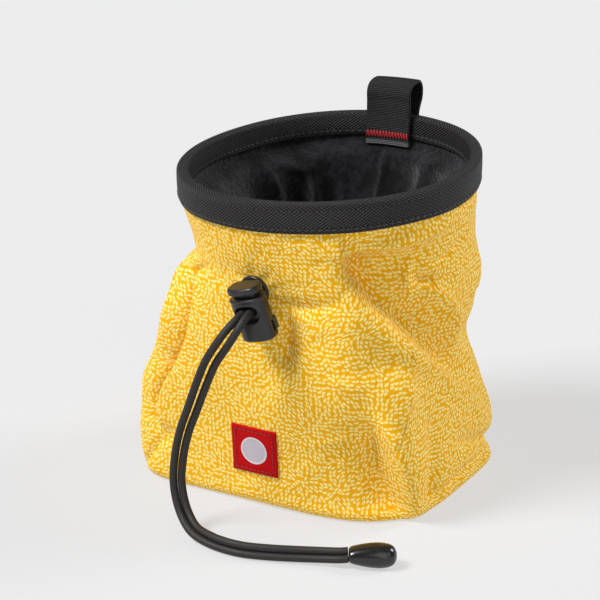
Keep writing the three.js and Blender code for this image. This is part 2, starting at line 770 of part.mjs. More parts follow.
const chalkBag = new THREE.Group();
chalkBag.add(
  piece('bag_shell', shellGeometry(), printedCloth),
  piece('bag_base', baseGeometry(), printedCloth),
  piece('bag_lining', liningGeometry(), blackFleece),
  piece('rim_binding', bindingGeometry(), blackWebbing),
  piece('belt_loop', loopGeometry(), blackWebbing),
  piece('drawstring_eyelet', eyeletGeometry(), blackRing),
  piece('front_label', labelGeometry(), redPatch),
  piece('cord_left', strandGeometry(1), blackCord),
  piece('cord_right', strandGeometry(-1), blackCord),
  lock,
  cordEnd,
);
chalkBag.position.set(axisX, axisY, 0);

export default chalkBag;
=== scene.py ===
"""A climbing chalk bag: printed cloth shell, fleece lining, webbing binding and belt loop, and a
drawstring whose two strands pass an eyelet and a cord lock and end in one hard end piece.
Metres, +Z up, the front with the label looks along -Y."""

import math

import bpy
import numpy as np
from mathutils import Matrix, Vector


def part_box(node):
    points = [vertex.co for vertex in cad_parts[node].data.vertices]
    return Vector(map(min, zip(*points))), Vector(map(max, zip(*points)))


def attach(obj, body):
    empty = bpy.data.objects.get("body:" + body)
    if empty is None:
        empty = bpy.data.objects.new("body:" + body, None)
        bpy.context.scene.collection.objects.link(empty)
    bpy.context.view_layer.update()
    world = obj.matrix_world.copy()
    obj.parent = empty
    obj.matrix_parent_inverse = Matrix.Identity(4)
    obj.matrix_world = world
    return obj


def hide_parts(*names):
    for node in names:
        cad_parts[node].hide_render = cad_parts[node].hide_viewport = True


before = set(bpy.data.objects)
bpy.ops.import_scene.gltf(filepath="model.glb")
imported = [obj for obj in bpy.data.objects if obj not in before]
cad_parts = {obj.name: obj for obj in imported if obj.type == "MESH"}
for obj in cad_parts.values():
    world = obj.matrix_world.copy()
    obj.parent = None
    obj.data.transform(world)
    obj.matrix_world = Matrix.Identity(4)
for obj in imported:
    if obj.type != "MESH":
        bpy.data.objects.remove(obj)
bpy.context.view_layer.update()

MM = 0.001
TURN = 2 * math.pi

# The bag's own sizes, as in the frame's model
BAG_AXIS = np.array((-0.0010, -0.0022, 0.0))
BAG_HEIGHT = 0.1325
HALF_WIDTH = 0.061
HALF_DEPTH = 0.056
MOUTH_TILT = 0.05
MOUTH_TILT_TURN = math.radians(29.5)
BASE_ROUNDING = 0.005
CLOTH_WALL = 0.0012
LINING_WALL = 0.0012
PIECE_GAP = 0.0003
FOLD_DEPTH = 0.010
FOLD_SPREAD = 0.010
BINDING_HEIGHT = 0.0121
BINDING_INSIDE = 0.0095
BINDING_THICKNESS = 0.0009
BINDING_LOW = BAG_HEIGHT - BINDING_HEIGHT
CLOTH_TOP = BAG_HEIGHT - PIECE_GAP - BINDING_THICKNESS
UNROLLED = (HALF_WIDTH + HALF_DEPTH) / 2

# Level as a share of the height; the reach to each side as a share of the half width or half
# depth; how square each corner is (2 is an ellipse).
SECTIONS = [
    # level front right  back   left   frontRight backRight backLeft frontLeft
    (0.000, 0.857, 1.049, 0.759, 0.984, 3.4, 8.0, 8.0, 9.0),
    (0.168, 0.866, 1.033, 0.768, 1.025, 3.6, 8.0, 8.0, 9.0),
    (0.287, 0.875, 0.992, 0.777, 1.005, 3.4, 5.5, 6.0, 6.5),
    (0.405, 0.893, 0.955, 0.821, 0.955, 3.0, 3.4, 4.0, 4.0),
    (0.554, 0.920, 0.970, 0.911, 0.925, 2.6, 2.6, 3.0, 3.0),
    (0.732, 0.920, 0.968, 1.036, 0.852, 2.3, 2.2, 2.2, 2.2),
    (0.803, 0.960, 0.978, 1.107, 0.826, 2.1, 2.1, 2.0, 2.0),
    (0.900, 1.009, 1.008, 1.143, 0.875, 2.0, 2.0, 2.0, 2.0),
    (1.000, 1.027, 1.016, 1.155, 0.893, 2.0, 2.0, 2.0, 2.0),
]

# Each fold runs through three points: turns from the front in degrees, levels as shares of
# the height. Rises are shares of the fold depth, plus outwards, and the widths to the line's
# left and right are shares of the fold spread. A small softness gives a sharp crest.
FOLDS = [
    # name, then turn and level of its start, middle and end, three rises, left, right, softness
    ("apex ridge", 36.5, 0.832, 43, 0.712, 57, 0.598, 0.28, 0.56, 0.28, 0.35, 1.4, 0.08),
    ("side ridge", 57, 0.598, 79, 0.438, 108, 0.252, 0.28, 0.5, 0.22, 0.3, 0.75, 0.08),
    ("casing edge", 37, 0.838, 58, 0.846, 84, 0.874, 0.28, 0.5, 0.15, 0.45, 0.22, 0.08),
    ("apex hollow", 43, 0.796, 49, 0.706, 62, 0.6, -0.9, -0.8, -0.45, 0.9, 0.42, 0.4),
    ("under casing", 46, 0.8, 60, 0.795, 76, 0.8, -0.3, -0.42, -0.12, 0.3, 0.8, 0.3),
    ("side hollow", 62, 0.6, 80, 0.48, 104, 0.335, -0.45, -0.62, -0.12, 1, 0.45, 0.4),
    ("wide hollow", 60, 0.74, 72, 0.64, 86, 0.53, -0.3, -0.45, -0.3, 0.9, 1.2, 0.7),
    ("under ridge", 44, 0.6, 57, 0.502, 76, 0.408, -0.1, -0.34, -0.1, 0.5, 0.6, 0.35),
    ("front corner", 61, 0.515, 61, 0.415, 56, 0.325, 0.3, 0.6, 0.34, 0.4, 2.2, 0.12),
    ("side pleat", 69, 0.785, 65, 0.725, 69, 0.655, 0.12, 0.34, 0.14, 0.28, 0.3, 0.1),
    ("side swell", 70, 0.695, 86, 0.62, 100, 0.48, 0.25, 0.62, 0.3, 0.28, 0.9, 0.1),
    ("side dimple", 72, 0.716, 76, 0.704, 81, 0.694, -0.2, -0.38, -0.12, 0.25, 0.25, 0.3),
    ("side crease", 78, 0.752, 90, 0.764, 99, 0.79, -0.1, -0.3, -0.14, 0.16, 0.12, 0.2),
    ("side shoulder", 112, 0.692, 119, 0.633, 121, 0.573, 0.25, 0.4, 0.2, 0.9, 1.2, 0.8),
    ("side pinch", 96, 0.534, 106, 0.484, 116, 0.445, -0.1, -0.25, -0.35, 0.6, 0.6, 0.6),
    ("left crease", -39.5, 0.7, -35.5, 0.56, -42, 0.4, -0.4, -0.62, -0.34, 0.14, 0.62, 0.08),
    ("left crease low", -42, 0.4, -47.5, 0.268, -47, 0.186, -0.34, -0.5, -0.22, 0.14, 0.5, 0.08),
    ("left crease line", -39.5, 0.705, -35.5, 0.56, -42, 0.4, -0.24, -0.5, -0.26, 0.1, 0.1, 0.3),
    ("low crease line", -42, 0.4, -47.5, 0.268, -47, 0.186, -0.26, -0.42, -0.12, 0.1, 0.1, 0.3),
    ("left strip", -50, 0.68, -47, 0.52, -57, 0.3, 0.3, 0.42, 0.2, 0.8, 0.45, 0.6),
    ("left tuck", -46, 0.132, -49, 0.079, -54, 0.02, -0.16, -0.24, -0.14, 0.12, 0.14, 0.1),
    ("left dent", -40, 0.19, -43, 0.16, -46, 0.13, -0.12, -0.3, -0.16, 0.4, 0.4, 0.5),
    ("neck tuck", -39.5, 0.703, -33, 0.722, -27, 0.742, -0.22, -0.26, -0.05, 0.16, 0.24, 0.1),
    ("neck left", -90, 0.736, -64, 0.734, -40, 0.757, -0.9, -1, -0.15, 0.5, 0.4, 0.25),
    ("front groove", 10, 0.677, 20, 0.666, 34, 0.686, -0.2, -0.34, -0.14, 0.4, 0.35, 0.3),
    ("front dimple", 15, 0.61, 15.5, 0.56, 13, 0.48, -0.6, -0.8, -0.15, 0.5, 0.55, 0.4),
    ("front dip", 27, 0.59, 30, 0.56, 34, 0.525, -0.1, -0.22, -0.1, 0.4, 0.4, 0.3),
    ("front swell", -20, 0.415, 0, 0.356, 30, 0.415, 0.16, 0.2, 0.2, 1.6, 1.4, 1.2),
    ("dart lip", 51, 0.318, 55.5, 0.205, 62, 0.04, 0.22, 0.46, 0.24, 0.8, 0.16, 0.1),
    ("dart hollow", 49, 0.29, 52.5, 0.19, 58, 0.04, -0.6, -1.2, -0.8, 0.18, 1.5, 0.3),
    ("corner ridge", 58, 0.336, 64, 0.198, 66, 0.059, 0.1, 0.2, 0.1, 0.7, 0.6, 0.5),
    ("corner valley", 71, 0.326, 73, 0.218, 72, 0.06, -0.1, -0.34, -0.5, 0.5, 0.5, 0.3),
    ("side notch", 88, 0.188, 102, 0.138, 122, 0.089, -0.08, -0.34, -0.42, 0.35, 0.45, 0.15),
    ("hem fold", 76, 0.04, 94, 0.06, 118, 0.075, -0.2, -0.3, -0.15, 0.25, 0.3, 0.2),
    ("hem lobe", 92, 0.12, 104, 0.1, 118, 0.09, 0.1, 0.22, 0.1, 0.5, 0.5, 0.5),
    ("rim tuck", 38, 0.905, 38, 0.885, 37, 0.868, -0.12, -0.1, -0.02, 0.12, 0.12, 0.3),
]

# The lining's own soft folds and its seam, in the same columns; minus is towards the middle.
LINING_FOLDS = [
    ("back seam", 180, 0.89, 181, 0.751, 183, 0.554, -0.1, -0.16, -0.12, 0.12, 0.12, 0.2),
    ("right fold", 158, 0.87, 161, 0.732, 166, 0.554, -0.1, -0.24, -0.2, 0.45, 0.35, 0.4),
    ("left fold", 214, 0.87, 211, 0.751, 209, 0.593, -0.06, -0.3, -0.26, 0.35, 0.25, 0.3),
    ("left tuck", 225, 0.86, 219, 0.84, 212, 0.85, -0.1, -0.18, -0.08, 0.2, 0.2, 0.2),
    ("left ripple", 238, 0.87, 233, 0.811, 228, 0.732, -0.08, -0.2, -0.12, 0.3, 0.25, 0.3),
    ("middle ripple", 196, 0.87, 198, 0.771, 194, 0.633, -0.05, -0.16, -0.14, 0.4, 0.35, 0.4),
    ("far right ripple", 138, 0.86, 142, 0.791, 148, 0.692, -0.06, -0.2, -0.16, 0.35, 0.3, 0.35),
]
FOLD_STEPS = 6
FOLD_FADE_LENGTH = 0.006
FOLD_FADE_BASE = 0.06
FOLD_AT_BASE = 0.35

# The cord pair's middle line in the bag's own frame, from inside the eyelet through the lock,
# down in front of the bag and along the floor, and the same list of points as the solids'.
CORD_ROUTE = [
    (0.0014, -0.0502, 0.0920),
    (0.0015, -0.0520, 0.0919),
    (0.0016, -0.0538, 0.0915),
    (0.0027, -0.0556, 0.0903),
    (0.0035, -0.0578, 0.0894),
    (0.0036, -0.0602, 0.0890),
    (0.0038, -0.0650, 0.0882),
    (0.0035, -0.0688, 0.0865),
    (0.0019, -0.0722, 0.0830),
    (-0.0011, -0.0744, 0.0776),
    (-0.0051, -0.0753, 0.0708),
    (-0.0086, -0.0756, 0.0626),
    (-0.0134, -0.0760, 0.0495),
    (-0.0167, -0.0763, 0.0404),
    (-0.0190, -0.0768, 0.0298),
    (-0.0194, -0.0778, 0.0196),
    (-0.0172, -0.0794, 0.0120),
    (-0.0130, -0.0818, 0.0066),
    (-0.0072, -0.0852, 0.0041),
    (0.0004, -0.0877, 0.0034),
    (0.0084, -0.0890, 0.0033),
    (0.0166, -0.0886, 0.0033),
    (0.0264, -0.0856, 0.0033),
    (0.0364, -0.0816, 0.0034),
    (0.0456, -0.0784, 0.0039),
    (0.0512, -0.0770, 0.0045),
    (0.0544, -0.0754, 0.0048),
]

# Which way the first strand lies from the middle, along the route, and how far apart the
# strands are as a share of the spacing.
CORD_PAIR = [
    # share x      y      z     spread
    (0.00, -0.97, 0.00, -0.25, 0.93),
    (0.09, -0.97, 0.00, -0.25, 1.00),
    (0.20, -0.87, -0.49, 0.00, 1.15),
    (0.45, -0.85, -0.50, -0.05, 0.95),
    (0.62, -0.80, -0.55, -0.20, 0.87),
    (0.72, -0.30, -0.40, -0.87, 0.87),
    (0.85, 0.00, -0.50, -0.87, 0.87),
    (1.00, 0.28, -0.66, -0.70, 0.87),
]
CORD_DIAMETER = 0.0032
CORD_SPACING = 0.0035

# The cord lock: its frame has the hole along Y and the button on +Z
LOCK_PLACE = np.array((0.00418, -0.06004, 0.08843)) + BAG_AXIS
LOCK_LEAN = math.radians(14.4)
LOCK_PITCH = math.radians(10)
LOCK_WIDTH = 0.0143
LOCK_DEPTH = 0.0096
LOCK_TOP = 0.0063
LOCK_LOW = -0.0117
LOCK_HOLE_WIDTH = 0.0105
LOCK_HOLE_HEIGHT = 0.0069
BUTTON_GAP = 0.0018
BUTTON_HEAD = 0.0027

END_LENGTH = 0.018
END_DIAMETER = 0.0096
END_HEADING = math.radians(27)

LABEL_SIZE = 0.020
LABEL_THICKNESS = 0.0008
LABEL_LEVEL = 0.188
LABEL_TURN = math.radians(-1.6)

# The camera and the light
CAMERA_TURN = math.radians(29.5)
CAMERA_RISE = math.radians(21)
CAMERA_DISTANCE = 0.95
CAMERA_TARGET = (-0.01965, 0.01481, 0.0625)
CAMERA_SENSOR = 36
CAMERA_LENS = 137.94
CAMERA_SIGHT = 20
WORLD_STRENGTH = 0.17
# Each sun's direction, its strength, and its angle across in degrees
SUNS = [
    ("key", (-0.42, -0.46, 0.78), 3.6, 22),
    ("fill", (0.66, -0.62, 0.42), 0.7, 50),
    ("back", (0.55, 0.60, 0.60), 1.5, 22),
]
FLOOR_HALF_SIZE = 6.0
FLOOR_GLOW = 0.556


# Forms


def smooth(value, low, high):
    share = np.clip((value - low) / (high - low), 0, 1)
    return share * share * (3 - 2 * share)


def unit(directions):
    return directions / np.linalg.norm(directions, axis=1, keepdims=True)


def travelled_along(points):
    """The distance from a line's start to each of its points."""
    return np.append(0, np.cumsum(np.linalg.norm(np.diff(points, axis=0), axis=1)))


def table_column(table, column, level):
    """A column of a table at any levels, by a smooth curve through its rows."""
    levels = np.array([row[0] for row in table])
    values = np.array([row[column] for row in table])
    slopes = np.gradient(values)
    slopes[1:-1] = (values[2:] - values[:-2]) / (levels[2:] - levels[:-2])
    slopes[0] = (values[1] - values[0]) / (levels[1] - levels[0])
    slopes[-1] = (values[-1] - values[-2]) / (levels[-1] - levels[-2])
    held = np.clip(level, levels[0], levels[-1])
    row = np.clip(np.searchsorted(levels, held) - 1, 0, len(levels) - 2)
    span = levels[row + 1] - levels[row]
    t = (held - levels[row]) / span
    start = 2 * t**3 - 3 * t**2 + 1
    bend = (t**3 - 2 * t**2 + t) * slopes[row] + (t**3 - t**2) * slopes[row + 1]
    return start * values[row] + (1 - start) * values[row + 1] + span * bend


def reach_at(turn, level):
    """The distance of the smooth outer form from the axis, before its folds."""
    front, right, back, left, *corners = (
        table_column(SECTIONS, column, level) for column in range(1, 9)
    )
    across, ahead = np.sin(turn), np.cos(turn)
    side = HALF_WIDTH * np.where(across >= 0, right, left)
    end = HALF_DEPTH * np.where(ahead >= 0, front, back)
    ahead_power = np.where(across >= 0, corners[0], corners[3])
    behind_power = np.where(across >= 0, corners[1], corners[2])
    power = np.where(ahead >= 0, ahead_power, behind_power)
    return (np.abs(across / side) ** power + np.abs(ahead / end) ** power) ** (-1 / power)


def fold_line(fold):
    """The stations of a fold's curve: along the unrolled cloth, up, and rise."""
    _, turn_a, level_a, turn_b, level_b, turn_c, level_c, *rises = fold[:10]
    t = np.linspace(0, 1, FOLD_STEPS + 1)
    a, b, c = (1 - t) * (1 - 2 * t), 4 * t * (1 - t), t * (2 * t - 1)
    along = np.radians((turn_a - turn_b) * a + (turn_c - turn_b) * c) * UNROLLED
    up = (level_a * a + level_b * b + level_c * c) * BAG_HEIGHT
    rise = (rises[0] * a + rises[1] * b + rises[2] * c) * FOLD_DEPTH
    return along, up, rise


def fold_rise(turn, height, table):
    """How far the folds of a table push the cloth outwards at each place."""
    total = np.zeros(np.broadcast(turn, height).shape)
    for fold in table:
        along, up, rise = fold_line(fold)
        left, right, soft = fold[10] * FOLD_SPREAD, fold[11] * FOLD_SPREAD, fold[12]
        offset = ((turn - math.radians(fold[3]) + math.pi) % TURN - math.pi) * UNROLLED
        nearest = np.full(total.shape, np.inf)
        lift, beyond = np.zeros(total.shape), np.zeros(total.shape)
        for step in range(FOLD_STEPS):
            run_along, run_up = along[step + 1] - along[step], up[step + 1] - up[step]
            length = math.hypot(run_along, run_up)
            ahead = ((offset - along[step]) * run_along + (height - up[step]) * run_up) / length
            aside = ((offset - along[step]) * run_up - (height - up[step]) * run_along) / length
            held = np.clip(ahead, 0, length)
            width = np.where(aside > 0, right, left)
            past = np.abs(ahead - held) / ((left + right) / 2)
            distance = np.hypot(aside / width, past)
            closer = distance < nearest
            nearest = np.where(closer, distance, nearest)
            beyond = np.where(closer, past, beyond)
            share = held / length
            lift = np.where(closer, rise[step] + (rise[step + 1] - rise[step]) * share, lift)
        soft = soft + 0.8 * beyond
        total += lift * np.exp(soft - np.hypot(nearest, soft) - 0.12 * nearest**2 - 0.25 * beyond)
    return total


def cloth_rise(turn, height):
    """The shell's folds: none under the binding, and shallow at the base."""
    fade = smooth(height, BINDING_LOW, BINDING_LOW - FOLD_FADE_LENGTH)
    base = FOLD_AT_BASE + (1 - FOLD_AT_BASE) * smooth(height / BAG_HEIGHT, 0, FOLD_FADE_BASE)
    return fold_rise(turn, height, FOLDS) * fade * base


def at_reach(turn, reach, height):
    """Points from turns, reaches and heights; the mouth's plane leans to one side."""
    x, y = reach * np.sin(turn), -reach * np.cos(turn)
    side = x * math.cos(MOUTH_TILT_TURN) + y * math.sin(MOUTH_TILT_TURN)
    z = height + MOUTH_TILT * side * smooth(height / BAG_HEIGHT, 0.35, 0.95)
    return np.stack(np.broadcast_arrays(x, y, z), -1) + BAG_AXIS


def ripple(along, up, waves, shortest, longest, seed):
    """A gentle random relief, from -1 to 1, out of waves that lie every way."""
    draw = np.random.default_rng(seed)
    total = np.zeros(np.broadcast(along, up).shape)
    for _ in range(waves):
        length = draw.uniform(shortest, longest)
        angle, phase = draw.uniform(0, TURN, 2)
        total += np.sin(TURN / length * (along * math.cos(angle) + up * math.sin(angle)) + phase)
    return total / math.sqrt(waves) / 2


# Meshes


def placed(name, data):
    made = bpy.data.objects.new(name, data)
    bpy.context.scene.collection.objects.link(made)
    return made


def aimed(name, data, back):
    """A camera or a light that looks the opposite way from a direction."""
    made = placed(name, data)
    made.rotation_mode = "QUATERNION"
    made.rotation_quaternion = Vector(back).to_track_quat("Z", "Y")
    return made


def object_from(name, vertices, faces, uv=None):
    """A mesh object in the frame, smooth shaded, its faces turned outwards."""
    vertices = np.asarray(vertices, float).reshape(-1, 3)
    mesh = bpy.data.meshes.new(name)
    mesh.from_pydata(vertices.tolist(), [], faces)
    mesh.polygons.foreach_set("use_smooth", np.ones(len(faces), bool))
    if uv is not None:
        layer = mesh.uv_layers.new(name="UVMap")
        layer.data.foreach_set("uv", np.asarray(uv, np.float32).ravel())
    made = placed(name, mesh)
    mesh.calc_loop_triangles()
    corners = np.empty(len(mesh.loop_triangles) * 3, np.int32)
    mesh.loop_triangles.foreach_get("vertices", corners)
    a, b, c = vertices[corners.reshape(-1, 3)].transpose(1, 0, 2)
    if np.einsum("ij,ij->", a, np.cross(b, c)) < 0:
        mesh.flip_normals()
    return made


def skin(name, rings, uv=None, round_trip=False, capped=True):
    """A closed surface through rings of points, with a fan at each end or joined in a circle.
    uv has one more column than the rings, so that the pattern closes without a smear."""
    rings = np.asarray(rings, float)
    rows, columns = rings.shape[:2]
    bands = rows if round_trip else rows - 1
    low = np.arange(bands)[:, None]
    side = np.arange(columns)[None, :]
    high, following = (low + 1) % rows, (side + 1) % columns
    quads = np.stack(
        [low * columns + side, low * columns + following,
         high * columns + following, high * columns + side], -1
    ).reshape(-1, 4)
    faces = quads.tolist()
    vertices = rings.reshape(-1, 3)
    if uv is not None:
        places = np.asarray(uv, float)
        next_side = np.broadcast_to(side + 1, (bands, columns))
        here = np.broadcast_to(side, (bands, columns))
        low_rows, high_rows = np.broadcast_to(low, here.shape), np.broadcast_to(high, here.shape)
        uv = np.stack(
            [places[low_rows, here], places[low_rows, next_side],
             places[high_rows, next_side], places[high_rows, here]], 2
        ).reshape(-1, 2)
    if capped and not round_trip:
        fans = []
        for row, order in ((0, 1), (rows - 1, -1)):
            hub = len(vertices)
            vertices = np.vstack([vertices, rings[row].mean(0)])
            start = row * columns
            for here in range(columns):
                there = (here + 1) % columns
                fans.append([hub, start + there, start + here][::order])
        faces += fans
        if uv is not None:
            middles = [places[row].mean(0) for row in (0, rows - 1)]
            hubs = (rows * columns, rows * columns + 1)
            uv = np.vstack([uv, [
                middles[hubs.index(corner)] if corner in hubs
                else places[corner // columns, corner % columns]
                for fan in fans for corner in fan
            ]])
    return object_from(name, vertices, faces, uv)


def tube(points, radius, sides=8):
    """Rings round a smooth line, turning with it as little as they can."""
    points = np.asarray(points, float)
    ahead = unit(np.gradient(points, axis=0))
    across = np.cross(ahead[0], (0.31, 0.17, 0.93))
    rings = []
    for place, forward in zip(points, ahead):
        across -= forward * (across @ forward)
        across /= np.linalg.norm(across)
        angle = np.arange(sides)[:, None] / sides * TURN
        offset = across * np.cos(angle) + np.cross(forward, across) * np.sin(angle)
        rings.append(place + offset * radius)
    return np.array(rings)


def joined(name, bundles):
    """One object out of many small closed skins, each a set of rings."""
    vertices, faces = [], []
    start = 0
    for rings in bundles:
        rows, columns = rings.shape[:2]
        ends = (rings[0].mean(0), rings[-1].mean(0))
        vertices.append(np.vstack([rings.reshape(-1, 3), ends]))
        for row in range(rows - 1):
            for side in range(columns):
                there = (side + 1) % columns
                low, high = start + row * columns, start + (row + 1) * columns
                faces.append([low + side, high + side, high + there, low + there])
        for hub, row, order in ((0, 0, 1), (1, rows - 1, -1)):
            first = start + row * columns
            middle = start + rows * columns + hub
            faces += [
                [middle, first + side, first + (side + 1) % columns][::order]
                for side in range(columns)
            ]
        start += rows * columns + 2
    return object_from(name, np.vstack(vertices), faces)


def thread(points, radius, sides=6):
    """A short piece of thread with rounded ends, as rings."""
    rings = tube(points, radius, sides)
    swell = np.minimum(1, np.minimum(np.arange(len(rings)), np.arange(len(rings))[::-1]) + 0.45)
    middles = rings.mean(1, keepdims=True)
    return middles + (rings - middles) * swell[:, None, None]


def stitch(start, end, out, radius, bow=0.6, steps=5):
    """A stitch that lies on cloth from start to end and stands a little proud."""
    t = np.linspace(0, 1, steps)[:, None]
    arch = 4 * t * (1 - t)
    proud = np.asarray(out) * radius * bow * (arch * 2 - 0.6)
    return thread(start + (end - start) * t + proud, radius)


def curve_points(points, count):
    """Evenly spaced points on the centripetal curve through the given ones."""
    points = np.asarray(points, float)
    padded = np.vstack([2 * points[0] - points[1], points, 2 * points[-1] - points[-2]])
    fine = []
    for before, start, end, after in zip(padded, padded[1:], padded[2:], padded[3:]):
        a, b, c = (
            np.linalg.norm(q - p) ** 0.5 for p, q in ((before, start), (start, end), (end, after))
        )
        run = (end - start) / b
        slope_in = ((start - before) / a - (end - before) / (a + b) + run) * b
        slope_out = (run - (after - start) / (b + c) + (after - end) / c) * b
        t = np.linspace(0, 1, 40, endpoint=False)[:, None]
        fine.append(
            (2 * t**3 - 3 * t**2 + 1) * start + (t**3 - 2 * t**2 + t) * slope_in
            + (3 * t**2 - 2 * t**3) * end + (t**3 - t**2) * slope_out
        )
    fine = np.vstack([*fine, points[-1]])
    travelled = travelled_along(fine)
    wanted = np.linspace(0, travelled[-1], count)
    return np.stack([np.interp(wanted, travelled, fine[:, axis]) for axis in range(3)], -1)


def line_length(points):
    return float(np.linalg.norm(np.diff(points, axis=0), axis=1).sum())


def superoval(width, depth, power, sides):
    angle = np.arange(sides) / sides * TURN
    along, across = np.cos(angle), np.sin(angle)
    reach = (np.abs(along) ** power + np.abs(across) ** power) ** (-1 / power)
    return width / 2 * along * reach, depth / 2 * across * reach


def modified(target, kind, **settings):
    """Adds a modifier, applies it and returns the object."""
    modifier = target.modifiers.new(kind.lower(), kind)
    for key, value in settings.items():
        setattr(modifier, key, value)
    graph = bpy.context.evaluated_depsgraph_get()
    mesh = bpy.data.meshes.new_from_object(target.evaluated_get(graph))
    target.modifiers.clear()
    target.data = mesh
    return target


# Material nodes


def node(tree, kind, inputs=None, **settings):
    made = tree.nodes.new("ShaderNode" + kind)
    for key, value in settings.items():
        setattr(made, key, value)
    for key, value in (inputs or {}).items():
        if isinstance(value, bpy.types.NodeSocket):
            tree.links.new(value, made.inputs[key])
        else:
            made.inputs[key].default_value = value
    return made


def calc(tree, operation, *values):
    return node(tree, "Math", dict(enumerate(values)), operation=operation).outputs[0]


def vector(tree, operation, *values):
    made = node(tree, "VectorMath", dict(enumerate(values)), operation=operation)
    measured = operation in ("LENGTH", "DISTANCE", "DOT_PRODUCT")
    return made.outputs["Value" if measured else "Vector"]


def scaled(tree, value, factor):
    return node(tree, "VectorMath", {0: value, "Scale": factor}, operation="SCALE").outputs[0]


def ramp(tree, value, low, high, out_low=0.0, out_high=1.0, soft=True):
    return node(
        tree, "MapRange",
        {"Value": value, "From Min": low, "From Max": high, "To Min": out_low, "To Max": out_high},
        interpolation_type="SMOOTHSTEP" if soft else "LINEAR",
    ).outputs[0]


def blended(tree, share, first, second, mode="MIX"):
    made = node(tree, "Mix", data_type="RGBA", blend_type=mode)
    for key, value in ((0, share), (6, first), (7, second)):
        if isinstance(value, bpy.types.NodeSocket):
            tree.links.new(value, made.inputs[key])
        else:
            made.inputs[key].default_value = value
    return made.outputs[2]


def noise(tree, place, scale, detail=2.0, rough=0.5, flat=False):
    made = node(
        tree, "TexNoise", {"Vector": place, "Scale": scale, "Detail": detail, "Roughness": rough},
        noise_dimensions="2D" if flat else "3D",
    )
    return made.outputs["Fac"]


def material(name, roughness, flat=False, **constants):
    """A material, its tree, its shader and the place that its patterns follow, which is on the
    laid-out surface for a flat one. The constants go on the shader itself."""
    made = bpy.data.materials.new(name)
    made.use_nodes = True
    tree = made.node_tree
    shader = tree.nodes["Principled BSDF"]
    shader.inputs["Roughness"].default_value = roughness
    for key, value in constants.items():
        shader.inputs[key.replace("_", " ")].default_value = value
    if flat:
        return made, tree, shader, node(tree, "UVMap", uv_map="UVMap").outputs[0]
    return made, tree, shader, node(tree, "TexCoord").outputs["Object"]


def finished(tree, shader, colour, *layers):
    """Sets the colour and chains bumps, each a height and the real depth that it stands for."""
    tree.links.new(colour, shader.inputs["Base Color"])
    normal = None
    for height, depth in layers:
        inputs = {"Height": height, "Distance": depth, "Strength": 1.0}
        if normal is not None:
            inputs["Normal"] = normal
        normal = node(tree, "Bump", inputs).outputs[0]
    tree.links.new(normal, shader.inputs["Normal"])


def wave(tree, coordinate, pitch):
    """A soft ridge pattern from 0 to 1, one ridge in each pitch."""
    turned = calc(tree, "MULTIPLY", coordinate, TURN / pitch)
    return calc(tree, "MULTIPLY_ADD", calc(tree, "SINE", turned), 0.5, 0.5)


# The print: short dashes scattered evenly, turned along a field that spreads from scattered
# centres. Its places are in millimetres on the cloth.
BURST_SPACING = 23.0
DASH_SPACING = 1.86
DASH_SCATTER = 0.62
DASH_HALF_LENGTH = 0.98
DASH_HALF_WIDTH = 0.47
DASH_CLEARANCE = 0.12
DASH_LEAN = 0.7
FLOW_WARP = 9.0


def cells(tree, place, spacing, scatter, feature):
    return node(
        tree, "TexVoronoi",
        {"Vector": scaled(tree, place, 1 / spacing), "Scale": 1.0, "Randomness": scatter},
        voronoi_dimensions="2D", feature=feature,
    ).outputs


def cell_place(tree, place, spacing, scatter, feature):
    """The middle of the nearest or next cell of a scattered grid, in the same units."""
    return scaled(tree, cells(tree, place, spacing, scatter, feature)["Position"], spacing)


def flow_at(tree, place):
    """A field that points away from the two nearest centres, more from the nearer one."""
    warp = node(
        tree, "TexNoise", {"Vector": place, "Scale": 0.06, "Detail": 1.0}, noise_dimensions="2D"
    )
    bent = vector(tree, "SUBTRACT", warp.outputs["Color"], (0.5, 0.5, 0.5))
    moved = vector(tree, "ADD", place, vector(tree, "MULTIPLY", bent, (FLOW_WARP, FLOW_WARP, 0.0)))
    pulls = []
    for feature in ("F1", "F2"):
        centre = cell_place(tree, moved, BURST_SPACING, 1.0, feature)
        offset = vector(tree, "SUBTRACT", moved, centre)
        length = vector(tree, "LENGTH", offset)
        weight = calc(tree, "DIVIDE", 1.0, calc(tree, "MULTIPLY_ADD", length, length, 0.5))
        pulls.append(scaled(tree, offset, weight))
    return node(tree, "SeparateXYZ", {0: vector(tree, "ADD", *pulls)}).outputs


